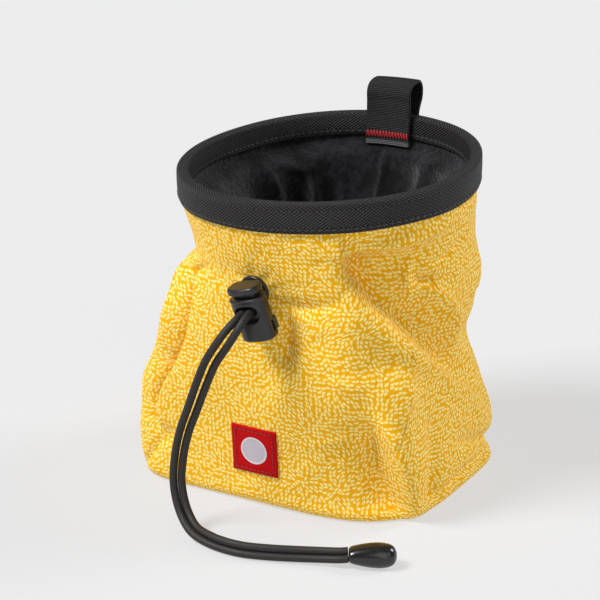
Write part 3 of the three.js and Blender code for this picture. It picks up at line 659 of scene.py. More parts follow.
def dash_print(tree, place):
    """The share from 0 to 1 of the pale dashes."""
    dash = cell_place(tree, place, DASH_SPACING, DASH_SCATTER, "F1")
    edge = cells(tree, place, DASH_SPACING, DASH_SCATTER, "DISTANCE_TO_EDGE")
    room = calc(tree, "MULTIPLY", edge["Distance"], DASH_SPACING)
    random = node(tree, "TexWhiteNoise", {"Vector": dash}).outputs["Color"]
    _, turned, grown = node(tree, "SeparateColor", {0: random}).outputs
    flow = flow_at(tree, dash)
    heading = calc(tree, "ARCTAN2", flow[1], flow[0])
    lean = calc(tree, "MULTIPLY_ADD", calc(tree, "SUBTRACT", turned, 0.5), DASH_LEAN, heading)
    cosine, sine = calc(tree, "COSINE", lean), calc(tree, "SINE", lean)
    away = node(tree, "SeparateXYZ", {0: vector(tree, "SUBTRACT", place, dash)}).outputs
    along = calc(tree, "MULTIPLY_ADD", away[0], cosine, calc(tree, "MULTIPLY", away[1], sine))
    back = calc(tree, "MULTIPLY", away[0], sine)
    aside = calc(tree, "SUBTRACT", calc(tree, "MULTIPLY", away[1], cosine), back)
    size = calc(tree, "MULTIPLY_ADD", grown, 0.24, 0.88)
    along = calc(tree, "DIVIDE", along, calc(tree, "MULTIPLY", size, DASH_HALF_LENGTH))
    taper = calc(tree, "MULTIPLY_ADD", along, 0.18, 1.0)
    aside = calc(tree, "DIVIDE", aside, calc(tree, "MULTIPLY", taper, DASH_HALF_WIDTH))
    squares = calc(tree, "ADD", calc(tree, "POWER", calc(tree, "ABSOLUTE", along), 2.4),
                   calc(tree, "MULTIPLY", aside, aside))
    inside = ramp(tree, squares, 1.30, 0.80)
    return calc(tree, "MULTIPLY", inside, ramp(tree, room, DASH_CLEARANCE - 0.05, DASH_CLEARANCE + 0.07))


def printed_cloth():
    made, tree, shader, place = material(
        "printed_cloth", 0.85, True, Sheen_Weight=0.04, Sheen_Roughness=0.5, Specular_IOR_Level=0.15
    )
    parts = node(tree, "SeparateXYZ", {0: place}).outputs
    dashes = dash_print(tree, place)
    mottle = noise(tree, place, 0.9, 3.0, 0.6, flat=True)
    tone = ramp(tree, mottle, 0.3, 0.7)
    ground = blended(tree, tone, (0.80, 0.385, 0.0015, 1), (0.84, 0.430, 0.003, 1))
    tone = ramp(tree, mottle, 0.35, 0.65)
    cream = blended(tree, tone, (0.92, 0.74, 0.20, 1), (0.95, 0.83, 0.31, 1))
    grain = ramp(tree, noise(tree, place, 6.0, 2.0, 0.6, flat=True), 0.2, 0.8, 0.0, 0.10)
    colour = blended(tree, dashes, ground, cream)
    colour = blended(tree, grain, colour, (0.60, 0.22, 0.001, 1))
    weave = calc(tree, "MULTIPLY", wave(tree, parts[0], 0.42), wave(tree, parts[1], 0.42))
    finished(tree, shader, colour, (mottle, 0.00005), (weave, 0.00003), (dashes, 0.00002))
    return made


def fleece():
    made, tree, shader, place = material(
        "fleece", 0.95, Sheen_Weight=0.5, Sheen_Roughness=0.4, Specular_IOR_Level=0.15
    )
    pile = noise(tree, place, 2200.0, 3.0, 0.7)
    tufts = noise(tree, place, 420.0, 3.0, 0.6)
    brushed = noise(tree, place, 90.0, 2.0, 0.5)
    shade = ramp(tree, calc(tree, "MULTIPLY", tufts, brushed), 0.15, 0.40)
    colour = blended(tree, shade, (0.0035, 0.0033, 0.0040, 1), (0.016, 0.0155, 0.019, 1))
    finished(tree, shader, colour, (tufts, 0.0006), (pile, 0.00025))
    return made


def webbing(name, slant, pitch, dark, light, depth, chevron=None, cut_end=None):
    """Woven webbing: slanted ribs of short floats, on places in millimetres. A chevron's ribs
    turn back at every band of its width."""
    made, tree, shader, place = material(name, 0.60, True, Specular_IOR_Level=0.25)
    lengthwise, crosswise, _ = node(tree, "SeparateXYZ", {0: place}).outputs
    folded = crosswise
    if chevron:
        first, band = chevron
        folded = calc(tree, "PINGPONG", calc(tree, "SUBTRACT", crosswise, first), band)
    rise = calc(tree, "MULTIPLY", folded, math.cos(slant))
    over = calc(tree, "MULTIPLY_ADD", lengthwise, -math.sin(slant), rise)
    run = calc(tree, "MULTIPLY", folded, math.sin(slant))
    along = calc(tree, "MULTIPLY_ADD", lengthwise, math.cos(slant), run)
    ribs = wave(tree, over, pitch)
    row = calc(tree, "FLOOR", calc(tree, "DIVIDE", over, pitch))
    stagger = calc(tree, "MULTIPLY", row, pitch * 0.45)
    floats = wave(tree, calc(tree, "ADD", along, stagger), pitch * 1.5)
    height = calc(tree, "MULTIPLY", ribs, calc(tree, "MULTIPLY_ADD", floats, 0.45, 0.55))
    fibre = noise(tree, place, 9.0, 2.0, 0.7, flat=True)
    # Painted highlight: the crests of the floats are painted in the light colour, flecked by the fibre
    # noise, where light would catch them.
    glint = ramp(tree, fibre, 0.25, 0.75, 0.6, 1.3)
    lit = calc(tree, "MULTIPLY", calc(tree, "POWER", height, 2.0), glint)
    colour = blended(tree, lit, dark, light)
    if cut_end:
        low_end, high_end, melted = cut_end
        ragged = calc(tree, "MULTIPLY_ADD", fibre, 0.8, lengthwise)
        colour = blended(tree, ramp(tree, ragged, high_end, low_end), colour, melted)
    finished(tree, shader, colour, (height, depth), (fibre, 0.00004))
    return made


def braid_material():
    made, tree, shader, place = material("cord_braid", 0.50, Specular_IOR_Level=0.3)
    lift = node(tree, "Attribute", attribute_name="lift", attribute_type="GEOMETRY").outputs["Fac"]
    fibre = noise(tree, place, 5200.0, 2.0, 0.7)
    # Painted highlight: the raised crowns of the yarns are painted in the lighter grey, flecked by the
    # fibre noise.
    glint = ramp(tree, fibre, 0.3, 0.7, 0.7, 1.3)
    lit = calc(tree, "MULTIPLY", calc(tree, "POWER", lift, 3.0), glint)
    colour = blended(tree, lit, (0.0015, 0.0012, 0.0012, 1), (0.100, 0.088, 0.083, 1))
    finished(tree, shader, colour, (fibre, 0.00006))
    return made


def plastic(name, colour, roughness, grain, depth, **constants):
    """Moulded plastic with a fine moulded grain and faint handling marks."""
    made, tree, shader, place = material(name, roughness, **constants)
    marks = noise(tree, place, 260.0, 4.0, 0.65)
    shade = tuple(channel * 1.5 + 0.002 for channel in colour[:3]) + (1,)
    worn = ramp(tree, marks, 0.3, 0.8, roughness, roughness + 0.12)
    tree.links.new(worn, shader.inputs["Roughness"])
    colour = blended(tree, ramp(tree, marks, 0.35, 0.75), colour, shade)
    finished(tree, shader, colour, (noise(tree, place, grain, 2.0, 0.5), depth))
    return made


def thread_material(name, colour):
    made, tree, shader, place = material(name, 0.5, Sheen_Weight=0.2, Specular_IOR_Level=0.4)
    twist = noise(tree, place, 6000.0, 2.0, 0.6)
    darker = tuple(channel * 0.45 for channel in colour[:3]) + (1,)
    finished(tree, shader, blended(tree, twist, darker, colour), (twist, 0.00008))
    return made


LABEL_DISC_RADIUS = 5.9


def label_material():
    """Red woven patch with a plain pale disc; its places are millimetres from its middle."""
    made, tree, shader, place = material("label_patch", 0.75, True, Specular_IOR_Level=0.1)
    parts = node(tree, "SeparateXYZ", {0: place}).outputs
    weave = calc(tree, "MULTIPLY", wave(tree, parts[0], 0.32), wave(tree, parts[1], 0.24))
    fibre = noise(tree, place, 3.0, 3.0, 0.6, flat=True)
    reach = calc(tree, "MULTIPLY_ADD", fibre, 0.12, vector(tree, "LENGTH", place))
    disc = ramp(tree, reach, LABEL_DISC_RADIUS + 0.12, LABEL_DISC_RADIUS - 0.06)
    band = ramp(tree, reach, LABEL_DISC_RADIUS - 1.0, LABEL_DISC_RADIUS - 0.5)
    rim = calc(tree, "MULTIPLY", disc, band)
    tone = ramp(tree, fibre, 0.3, 0.7)
    red = blended(tree, tone, (0.50, 0.0015, 0.003, 1), (0.58, 0.003, 0.005, 1))
    pale = blended(tree, rim, (0.58, 0.54, 0.59, 1), (0.76, 0.72, 0.76, 1))
    colour = blended(tree, disc, red, pale)
    # Painted shade: the hollows of the weave are painted darker red.
    weave_hollow_shade = ramp(tree, weave, 0.0, 0.6, 0.22, 0.0)
    colour = blended(tree, weave_hollow_shade, colour, (0.10, 0.002, 0.004, 1))
    raised = calc(tree, "ADD", disc, rim)
    finished(tree, shader, colour, (raised, 0.00012), (weave, 0.00005))
    return made


def floor_material():
    """A pale sweep that is lit from below as well, so that shadows stay light on it."""
    made, tree, shader, place = material(
        "floor", 0.9, Specular_IOR_Level=0.0, Emission_Strength=FLOOR_GLOW
    )
    tone = noise(tree, place, 3.0, 2.0, 0.5)
    colour = blended(tree, tone, (0.195, 0.195, 0.20, 1), (0.205, 0.205, 0.21, 1))
    tree.links.new(colour, shader.inputs["Base Color"])
    shader.inputs["Emission Color"].default_value = (1, 1, 1, 1)
    return made


GRAIN_DEPTH = 0.00001
PRINTED = printed_cloth()
FLEECE = fleece()
# Each webbing's second colour is the painted highlight on the crests of its floats.
BINDING_WEBBING = webbing(
    "binding_webbing", math.radians(35), 0.95, (0.0022, 0.0020, 0.0020, 1), (0.085, 0.079, 0.078, 1),
    0.00030, chevron=(2.7, 6.6),
)
LOOP_WEBBING = webbing(
    "loop_webbing", math.radians(-90), 0.70, (0.004, 0.004, 0.0045, 1), (0.034, 0.033, 0.036, 1),
    0.00016, cut_end=(1.9, 2.3, (0.085, 0.082, 0.088, 1)),
)
BRAID = braid_material()
RED_THREAD = thread_material("red_thread", (0.72, 0.015, 0.022, 1))
DARK_RED_THREAD = thread_material("dark_red_thread", (0.36, 0.003, 0.006, 1))
BLACK_THREAD = thread_material("black_thread", (0.035, 0.034, 0.035, 1))
RING_PLASTIC, LOCK_PLASTIC, END_PLASTIC = (
    plastic(name, colour, roughness, grain, GRAIN_DEPTH, Specular_IOR_Level=specular)
    for name, colour, roughness, grain, specular in (
        ("ring_gloss", (0.004, 0.004, 0.005, 1), 0.30, 900.0, 0.4),
        ("lock_plastic", (0.013, 0.0115, 0.0130, 1), 0.27, 3800.0, 0.5),
        ("end_gloss", (0.006, 0.0055, 0.006, 1), 0.15, 700.0, 0.6),
    )
)
LABEL = label_material()


def dressed(piece, finish, body, slot, *nodes):
    """Gives a piece its finish and the body it rides on, and hides the model's parts for the nodes that
    it stands for.
    """
    piece.data.materials.clear()
    piece.data.materials.append(finish)
    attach(piece, body)
    if nodes:
        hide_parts(*nodes)
    return piece


# Camera


def make_camera():
    turn, rise = CAMERA_TURN, CAMERA_RISE
    level = math.cos(rise)
    back = Vector((math.sin(turn) * level, -math.cos(turn) * level, math.sin(rise)))
    camera = aimed("camera", bpy.data.cameras.new("camera"), back)
    camera.data.sensor_width = CAMERA_SENSOR
    camera.data.lens = CAMERA_LENS
    camera.location = Vector(CAMERA_TARGET) + back * CAMERA_DISTANCE
    camera.data.clip_end = CAMERA_SIGHT
    bpy.context.scene.camera = camera


make_camera()


# The cord and its end piece

BRAID_AROUND = 48
BRAID_STEP = 0.00017
BRAID_CARRIERS = 8
BRAID_LAY = 0.0076
BRAID_DEPTH = 0.00014


def strand_line(side):
    """The middle line of one strand: the route, with the pair's offset that turns along it."""
    route = curve_points(np.array(CORD_ROUTE) + BAG_AXIS, len(CORD_ROUTE) * 2 + 1)
    share = np.linspace(0, 1, len(route))
    ahead = unit(np.gradient(route, axis=0))
    aside = np.stack([table_column(CORD_PAIR, column, share) for column in (1, 2, 3)], -1)
    aside = unit(aside - ahead * (aside * ahead).sum(1, keepdims=True))
    spread = table_column(CORD_PAIR, 4, share)[:, None] * CORD_SPACING / 2
    return route + side * spread * aside


def strand(name, side):
    """A braided strand: two families of helical yarns that pass over and under."""
    line = strand_line(side)
    steps = int(line_length(line) / BRAID_STEP)
    line = curve_points(line, steps)
    base = tube(line, 1.0, BRAID_AROUND)
    middles = line[:, None, :]
    around = np.arange(BRAID_AROUND)[None, :] / BRAID_AROUND
    along = np.linspace(0, line_length(line), steps)[:, None] / BRAID_LAY
    right = (around + along) * BRAID_CARRIERS
    left = (around - along) * BRAID_CARRIERS
    over = np.sin(math.pi * (right + left)) * np.cos(math.pi * (right - left))
    crown_right = np.abs(np.cos(math.pi * right)) ** 0.8
    crown_left = np.abs(np.cos(math.pi * left)) ** 0.8
    lift = np.maximum(crown_right * (0.65 + 0.35 * over), crown_left * (0.65 - 0.35 * over))
    radius = CORD_DIAMETER / 2 - BRAID_DEPTH * (1 - lift)
    made = skin(name, middles + (base - middles) * radius[:, :, None])
    values = np.append(lift.ravel(), (0.3, 0.3)).astype(np.float32)
    made.data.attributes.new("lift", "FLOAT", "POINT").data.foreach_set("value", values)
    return made, line


# Share of the end piece's length, its width and its height as shares of its diameter
END_PROFILE = [
    (0.000, 0.70, 0.46),
    (0.012, 0.78, 0.53),
    (0.050, 0.85, 0.62),
    (0.150, 0.90, 0.74),
    (0.300, 0.95, 0.87),
    (0.450, 0.985, 0.96),
    (0.620, 1.00, 1.00),
    (0.760, 0.96, 0.96),
    (0.860, 0.86, 0.86),
    (0.940, 0.66, 0.66),
    (0.985, 0.36, 0.36),
    (1.000, 0.12, 0.12),
]
END_PARTING = 0.80
END_GROOVE = 0.00016
END_MOUTH_DEPTH = 0.0025


def end_piece():
    """A bullet with a rounded mouth, a bowed parting groove and a blunt nose."""
    shares = np.concatenate(
        [np.linspace(0, 0.12, 14), np.linspace(0.12, 0.9, 60)[1:], np.linspace(0.9, 1, 22)[1:]]
    )
    sides = 64
    angle = np.arange(sides) / sides * TURN
    rings = []
    for share in shares:
        width, height = (table_column(END_PROFILE, column, share) * END_DIAMETER for column in (1, 2))
        x, y = superoval(width, height, 2.1, sides)
        groove = share - END_PARTING - 0.045 * np.cos(2 * angle)
        shrink = 1 - END_GROOVE / (END_DIAMETER / 2) * np.exp(-((groove / 0.012) ** 2))
        rings.append(np.stack([x * shrink, y * shrink, np.full(sides, share * END_LENGTH)], -1))
    lips = []
    for inward, depth in ((0.93, -0.00012), (0.86, 0.0), (0.82, 0.0006), (0.80, END_MOUTH_DEPTH)):
        lip = rings[0] * (inward, inward, 1)
        lip[:, 2] = depth
        lips.append(lip)
    made = skin("cord_end_piece", np.array(lips[::-1] + rings))
    heading = Vector((math.cos(END_HEADING), math.sin(END_HEADING), 0))
    turned = Matrix(((-heading.y, 0, heading.x), (heading.x, 0, heading.y), (0, 1, 0))).to_4x4()
    mouth = Vector(np.array(CORD_ROUTE[-1]) + BAG_AXIS) + heading * PIECE_GAP
    mouth.z = END_DIAMETER / 2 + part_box("cord_end")[0].z
    made.data.transform(Matrix.Translation(mouth) @ turned)
    return dressed(made, END_PLASTIC, "bag", "end_plastic", "cord_end")


cord_end_piece = end_piece()
for strand_name, strand_side, strand_node in (
    ("cord_strand_left", 1, "cord_left"),
    ("cord_strand_right", -1, "cord_right"),
):
    piece, centre_line = strand(strand_name, strand_side)
    dressed(piece, BRAID, "bag", "cord_braid", strand_node)


# The shell

SHELL_COLUMNS = 500
SHELL_ROW_STEP = 0.00105
INNER_ROWS = 40
BASE_RINGS = 7
# A quarter circle's arc less its radius, as a share of the radius, and its sweep
ROUND_ARC = 0.57
ROUND_SWEEP = 1.4
# Where the columns stand closer: the turn and the spread in degrees, and how much closer
CLOSE_COLUMNS = [(-43, 13, 3.0), (53, 26, 1.0)]
EYELET_PUCKER = 0.0007
EYELET_PUCKERS = 9


def eyelet_place():
    low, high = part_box("drawstring_eyelet")
    return (low + high) / 2, (high.x - low.x) / 2, low.y


def fine_relief(turn, height):
    """Small unevenness, puckers under the binding and round the eyelet."""
    along = turn * UNROLLED
    broad = ripple(along, height, 24, 0.012, 0.030, 5) * 0.00035
    fine = ripple(along, height, 30, 0.005, 0.010, 11) * 0.00012
    under = np.exp(-np.maximum(0, BINDING_LOW - height) / 0.007)
    gathers = ripple(along, height * 0.12, 26, 0.006, 0.014, 23) * 0.0006 * under
    centre, radius, _ = eyelet_place()
    across = reach_at(turn, height / BAG_HEIGHT) * np.sin(turn) + BAG_AXIS[0] - centre.x
    up = height - centre.z
    distance = np.hypot(across, up)
    near = np.exp(-np.maximum(0, distance - radius) / 0.004) * (np.cos(turn) > 0)
    pucker = np.cos(EYELET_PUCKERS * np.arctan2(up, across) + 0.7) * EYELET_PUCKER
    keep = smooth(height, 0, 0.006) * smooth(height, BINDING_LOW + 0.004, BINDING_LOW)
    return (broad + fine + gathers + pucker * near * smooth(distance, radius, radius * 1.25)) * keep


def spread_turns(columns, closer=()):
    """Turns once round from the back, closer together where the folds are sharp."""
    even = np.linspace(-math.pi, math.pi, 2000)
    density = np.ones(len(even))
    for middle, spread, gain in closer:
        density += gain * np.exp(-(((even - math.radians(middle)) / math.radians(spread)) ** 2))
    share = np.append(0, np.cumsum((density[1:] + density[:-1]) / 2))
    return np.interp(np.linspace(0, share[-1], columns, endpoint=False), share, even)


def row_uv(rings, heights, front):
    """Places on the cloth in millimetres: round it from the front, and up."""
    closed = np.concatenate([rings, rings[:, :1]], 1)
    steps = np.linalg.norm(np.diff(closed, axis=1), axis=2)
    travelled = np.concatenate([np.zeros((len(rings), 1)), np.cumsum(steps, 1)], 1)
    travelled -= travelled[:, front:front + 1]
    return np.stack([travelled, np.broadcast_to(heights[:, None], travelled.shape)], -1) / MM


def bucket(name, surface, wall, floor, top, turns, row_step, inner_rows):
    """An open bucket with a flat base, up its outside and down its inside."""
    turn = turns[None, :]
    rings, lengths = [], []

    def base(inset, level):
        rounding = BASE_ROUNDING - inset
        edge = surface(turn, np.zeros((1, 1)), inset + rounding)[0]
        middle = edge.mean(0)
        for share in np.linspace(0.04, 0.96, BASE_RINGS):
            flat = middle + (edge - middle) * share
            rings.append(flat * (1, 1, 0) + (0, 0, level))
            lengths.append(-rounding * ROUND_ARC - (1 - share) * UNROLLED)
        for angle in np.radians(np.linspace(0, 80, 7)):
            rise = rounding * (1 - math.cos(angle))
            ring = surface(turn, np.full((1, 1), rise), inset + rounding * (1 - math.sin(angle)))[0]
            rings.append(ring * (1, 1, 0) + (0, 0, level + rise))
            lengths.append(rise - rounding * ROUND_ARC * (1 - angle / ROUND_SWEEP))

    def side(inset, count):
        for height in np.linspace(BASE_ROUNDING, top, count):
            held = max(height, BASE_ROUNDING + floor)
            rings.append(surface(turn, np.full((1, 1), held), inset)[0])
            lengths.append(held)

    base(0, floor)
    side(0, int((top - BASE_ROUNDING) / row_step))
    outer = len(rings)
    base(wall, floor + wall)
    side(wall, inner_rows)
    order = list(range(outer)) + list(range(len(rings) - 1, outer - 1, -1))
    rings = np.array(rings)[order]
    uv = row_uv(rings, np.array(lengths)[order], np.argmin(np.abs(turns)))
    return skin(name, rings, uv)


def shell_surface(turn, height, inset):
    fine = fine_relief(turn, height)
    rise = cloth_rise(turn, height) + fine
    return at_reach(turn, reach_at(turn, height / BAG_HEIGHT) + rise - inset, height)


shell = bucket(
    "printed_shell", shell_surface, CLOTH_WALL, 0.0, CLOTH_TOP,
    spread_turns(SHELL_COLUMNS, CLOSE_COLUMNS), SHELL_ROW_STEP, INNER_ROWS,
)
dressed(shell, PRINTED, "bag", "printed_cloth", "bag_shell", "bag_base")


# The lining

LINING_COLUMNS = 300
LINING_HANG = 0.0042
LINING_ROW_STEP = 0.0014


def spread_minimum(field, columns, rows):
    """The lowest value near each place of a field that closes round its columns."""
    lowest = field.copy()
    for shift in range(-columns, columns + 1):
        lowest = np.minimum(lowest, np.roll(field, shift, 1))
    padded = np.pad(lowest, ((rows, rows), (0, 0)), "edge")
    stack = [padded[shift:shift + len(field)] for shift in range(2 * rows + 1)]
    lowest = np.min(stack, 0)
    for _ in range(3):
        kernel = [np.roll(lowest, shift, 1) for shift in range(-4, 5)]
        lowest = np.mean(kernel, 0)
        padded = np.pad(lowest, ((3, 3), (0, 0)), "edge")
        lowest = np.mean([padded[shift:shift + len(field)] for shift in range(7)], 0)
    return lowest


DENT_ROWS = 120
dent_turn = np.linspace(-math.pi, math.pi, LINING_COLUMNS, endpoint=False)[None, :]
dent_height = np.linspace(0, BAG_HEIGHT, DENT_ROWS)[:, None]
DENTS = spread_minimum(np.minimum(0, cloth_rise(dent_turn, dent_height)), 5, 5)


def lining_surface(turn, height, inset):
    level = np.broadcast_to(height, (1, LINING_COLUMNS))[0, 0] / BAG_HEIGHT * (DENT_ROWS - 1)
    row = min(int(level), DENT_ROWS - 2)
    dent = DENTS[row] * (1 - level + row) + DENTS[row + 1] * (level - row)
    hang = smooth(height, BINDING_LOW + 0.002, BINDING_LOW - FOLD_FADE_LENGTH)
    along = turn * UNROLLED
    crumple = fold_rise(turn, height, LINING_FOLDS) * 1.3
    crumple = crumple - (1 + ripple(along, height * 0.45, 30, 0.010, 0.028, 41)) * 0.0010
    clear = CLOTH_WALL + PIECE_GAP + (LINING_HANG - dent[None, :] - crumple) * hang
    return at_reach(turn, reach_at(turn, height / BAG_HEIGHT) - clear - inset, height)


lining = bucket(
    "fleece_lining", lining_surface, LINING_WALL, CLOTH_WALL + PIECE_GAP, CLOTH_TOP,
    spread_turns(LINING_COLUMNS), LINING_ROW_STEP * 2, int((CLOTH_TOP - BASE_ROUNDING) / LINING_ROW_STEP),
)
dressed(lining, FLEECE, "bag", "fleece", "bag_lining")


# The binding

BINDING_COLUMNS = 480
BINDING_ROUND = 0.0016
BINDING_PINCH = 0.0006
BINDING_BELLY = 0.00025
STITCH_PITCH = 0.0026
STITCH_RADIUS = 0.00024
STITCH_RISE = 0.0016


def binding_profile():
    """Out from the smooth form, and height, once round the folded webbing's section."""
    outer = PIECE_GAP + BINDING_THICKNESS
    inner = -(CLOTH_WALL + LINING_WALL + 3 * PIECE_GAP + BINDING_THICKNESS) + BINDING_PINCH
    low, inner_low, high = BINDING_LOW, BAG_HEIGHT - BINDING_INSIDE, BAG_HEIGHT
    middle, half = (outer + inner) / 2, (outer - inner) / 2
    top = high - BINDING_ROUND
    places = [(outer - 0.00025, low - 0.00012), (outer, low + 0.0001)]
    for share in np.linspace(0, 1, 16)[1:]:
        bulge = BINDING_BELLY * math.sin(math.pi * share)
        places.append((outer + bulge, low + (top - low) * share))
    for angle in np.radians(np.linspace(10, 170, 17)):
        places.append((middle + half * math.cos(angle), top + BINDING_ROUND * math.sin(angle)))
    for share in np.linspace(1, 0, 14):
        bulge = BINDING_BELLY * math.sin(math.pi * share)
        places.append((inner - bulge, inner_low + (top - inner_low) * share))
    places.append((inner + 0.0002, inner_low - 0.00012))
    fold_top = CLOTH_TOP + PIECE_GAP
    within = inner + BINDING_THICKNESS * 0.7
    places += [(within, inner_low), (within, fold_top - 0.001), (0.0002, fold_top - 0.001)]
    places.append((PIECE_GAP, low))
    return np.array(places)


def binding_point(turn, out, height):
    """A place on the binding, whose edge waves a little as sewn webbing does."""
    along = turn * UNROLLED
    wavy = ripple(along, 0.0, 10, 0.030, 0.070, 71) * 0.00035
    low_share = smooth(height, BAG_HEIGHT, BINDING_LOW)
    reach = reach_at(turn, np.minimum(1, height / BAG_HEIGHT)) + out
    return at_reach(turn, reach + wavy * 0.6, height + wavy * low_share)


def binding():
    profile = binding_profile()
    turn = np.linspace(-math.pi, math.pi, BINDING_COLUMNS, endpoint=False)
    rings = binding_point(turn[:, None], profile[None, :, 0], profile[None, :, 1])
    around = travelled_along(np.vstack([profile, profile[:1]]))
    lengthwise = turn * (HALF_WIDTH + HALF_DEPTH) / 2
    uv = np.stack(np.broadcast_arrays(lengthwise[:, None], around[None, :]), -1) / MM
    made = skin("binding_webbing_band", rings, uv, round_trip=True)
    return dressed(made, BINDING_WEBBING, "bag", "webbing", "rim_binding")


def binding_stitches():
    """The seam that holds the binding, as it shows on the outside and on the inside."""
    profile = binding_profile()
    bundles = []
    count = int(TURN * UNROLLED / STITCH_PITCH)
    inner_low = BAG_HEIGHT - BINDING_INSIDE
    for out, way, low in ((profile[3, 0], 1, BINDING_LOW), (profile[-8, 0], -1, inner_low)):
        for index in range(count):
            ends = [(index + share) / count * TURN for share in (0.14, 0.86)]
            start, end = (
                binding_point(np.array(turn), out, low + STITCH_RISE) for turn in ends
            )
            facing = np.array((math.sin(ends[0]), -math.cos(ends[0]), 0)) * way
            bundles.append(stitch(start, end, facing, STITCH_RADIUS))
    return dressed(joined("binding_stitches", bundles), BLACK_THREAD, "bag", "webbing")


binding()
binding_stitches()


# The belt loop

LOOP_WIDTH = 0.020
LOOP_THICKNESS = 0.0014
LOOP_RISE = 0.014
LOOP_DEPTH = 0.0125
LOOP_INNER_TAIL = 0.0124
LOOP_OUTER_TAIL = 0.0115
LOOP_GAP = 0.0006
LOOP_RIB_PITCH = 0.0007
LOOP_RIB_DEPTH = 0.00007
TACK_LOW = 0.0028
TACK_HIGH = 0.0056
TACK_TEETH = 14
TACK_RADIUS = 0.00024


def loop_line():
    """The middle line of the strap in section: out from the rim's smooth form, and up."""
    rim_outer = PIECE_GAP + BINDING_THICKNESS
    rim_inner = -(CLOTH_WALL + LINING_WALL + 3 * PIECE_GAP + BINDING_THICKNESS)
    inside, outside = rim_inner - LOOP_GAP, rim_outer + LOOP_GAP
    half, thin = LOOP_DEPTH / 2, LOOP_THICKNESS / 2
    middle = inside - LOOP_THICKNESS + half
    crown = LOOP_RISE - LOOP_THICKNESS
    return [
        (inside - thin, -LOOP_INNER_TAIL, 0),
        (inside - thin, 0, 0),
        (middle - half + thin, crown * 0.45, 0),
        (middle - half + thin, crown * 0.8, 0),
        (middle - half * 0.55, crown, 0),
        (middle + half * 0.55, crown + 0.0002, 0),
        (middle + half - thin, crown * 0.8, 0),
        (middle + half - thin, crown * 0.45, 0),
        (outside + thin + 0.0006, 0.001, 0),
        (outside + thin + 0.0001, -0.0025, 0),
        (outside + thin, -LOOP_OUTER_TAIL, 0),
    ]


def loop_place(x, out, up):
    """A point of the loop, bent with the rim's curve across the strap's width."""
    turn = math.pi - np.arcsin(x / (HALF_DEPTH * SECTIONS[-1][3]))
    height = BAG_HEIGHT + up
    reach = reach_at(turn, np.minimum(1, height / BAG_HEIGHT)) + out
    place = at_reach(turn, reach, height)
    place[..., 0] = x + BAG_AXIS[0]
    return place


def loop_section():
    """Across the strap and through it, with rounded selvedges."""
    half, thin = LOOP_WIDTH / 2, LOOP_THICKNESS / 2
    round_off = np.radians(np.linspace(-75, 75, 6))
    flat = np.linspace(-half + thin, half - thin, 20)
    right = [(half - thin + thin * math.cos(a), thin * math.sin(a)) for a in round_off]
    left = [(-half + thin - thin * math.cos(a), -thin * math.sin(a)) for a in round_off]
    top = [(x, thin) for x in flat[::-1]]
    bottom = [(x, -thin) for x in flat]
    return np.array(bottom + right + top + left)


def belt_loop():
    section = loop_section()
    line = curve_points(loop_line(), 560)
    ahead = unit(np.gradient(line, axis=0))
    along = np.linspace(0, line_length(line), len(line))
    rib = np.cos(along / LOOP_RIB_PITCH * TURN) * LOOP_RIB_DEPTH
    through = section[None, :, 1] + np.sign(section[None, :, 1]) * rib[:, None]
    out = line[:, None, 0] - through * ahead[:, None, 1]
    up = line[:, None, 1] + through * ahead[:, None, 0]
    rings = loop_place(np.broadcast_to(section[None, :, 0], out.shape), out, up)
    around = travelled_along(np.vstack([section, section[:1]]))
    uv = np.stack(np.broadcast_arrays(along[:, None], around[None, :]), -1) / MM
    return dressed(skin("belt_loop_strap", rings, uv), LOOP_WEBBING, "bag", "webbing", "belt_loop")


def loop_tacks():
    """The zigzag seam across each leg of the loop, a little wider than the strap."""
    line = loop_line()
    bundles = []
    for out, way, tail in ((line[0][0], -1, LOOP_INNER_TAIL), (line[-1][0], 1, LOOP_OUTER_TAIL)):
        surface = out + way * (LOOP_THICKNESS / 2 + LOOP_RIB_DEPTH + TACK_RADIUS * 0.5)
        corners = []
        for tooth in range(2 * TACK_TEETH + 1):
            x = (tooth / (2 * TACK_TEETH) - 0.5) * (LOOP_WIDTH - 0.0008)
            up = -tail + (TACK_HIGH if tooth % 2 else TACK_LOW)
            corners.append(loop_place(np.array(x), surface, up))
        for start, end in zip(corners, corners[1:]):
            bundles.append(stitch(start, end, (0, way, 0), TACK_RADIUS, steps=6))
    return dressed(joined("loop_tacks", bundles), RED_THREAD, "bag", "red_thread")


belt_loop()
loop_tacks()


# The eyelet

EYELET_ROLL = 0.0020
EYELET_THICKNESS = 0.0019
FLANGE_THICKNESS = 0.0007


def eyelet():
    """A rolled ring, its barrel through the cloth and a flat flange behind."""
    centre, radius, front = eyelet_place()
    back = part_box("drawstring_eyelet")[1].y
    bore = radius - EYELET_ROLL
    thick = EYELET_THICKNESS
    crown, half = (radius + bore) / 2, (radius - bore) / 2
    profile = []
    for angle in np.radians(np.linspace(-20, 200, 24)):
        profile.append((crown + half * math.cos(angle), thick * 0.5 + thick * 0.5 * math.sin(angle)))
    rear = thick - (back - front)
    flange, barrel = radius - FLANGE_THICKNESS, crown - 0.0004
    profile += [(bore, rear + 0.0001), (bore, rear), (flange, rear)]
    profile += [(flange, rear + FLANGE_THICKNESS), (barrel, rear + FLANGE_THICKNESS)]
    profile += [(barrel, 0.0001)]
    angle = np.linspace(0, TURN, 72, endpoint=False)[:, None]
    reach, out = np.array(profile).T
    x, z = centre.x + reach * np.cos(angle), centre.z + reach * np.sin(angle)
    rings = np.stack(np.broadcast_arrays(x, front + thick - out + 0 * angle, z), -1)
    made = skin("eyelet_ring", rings, round_trip=True)
    return dressed(made, RING_PLASTIC, "bag", "eyelet_ring", "drawstring_eyelet")


eyelet()


# The cord lock

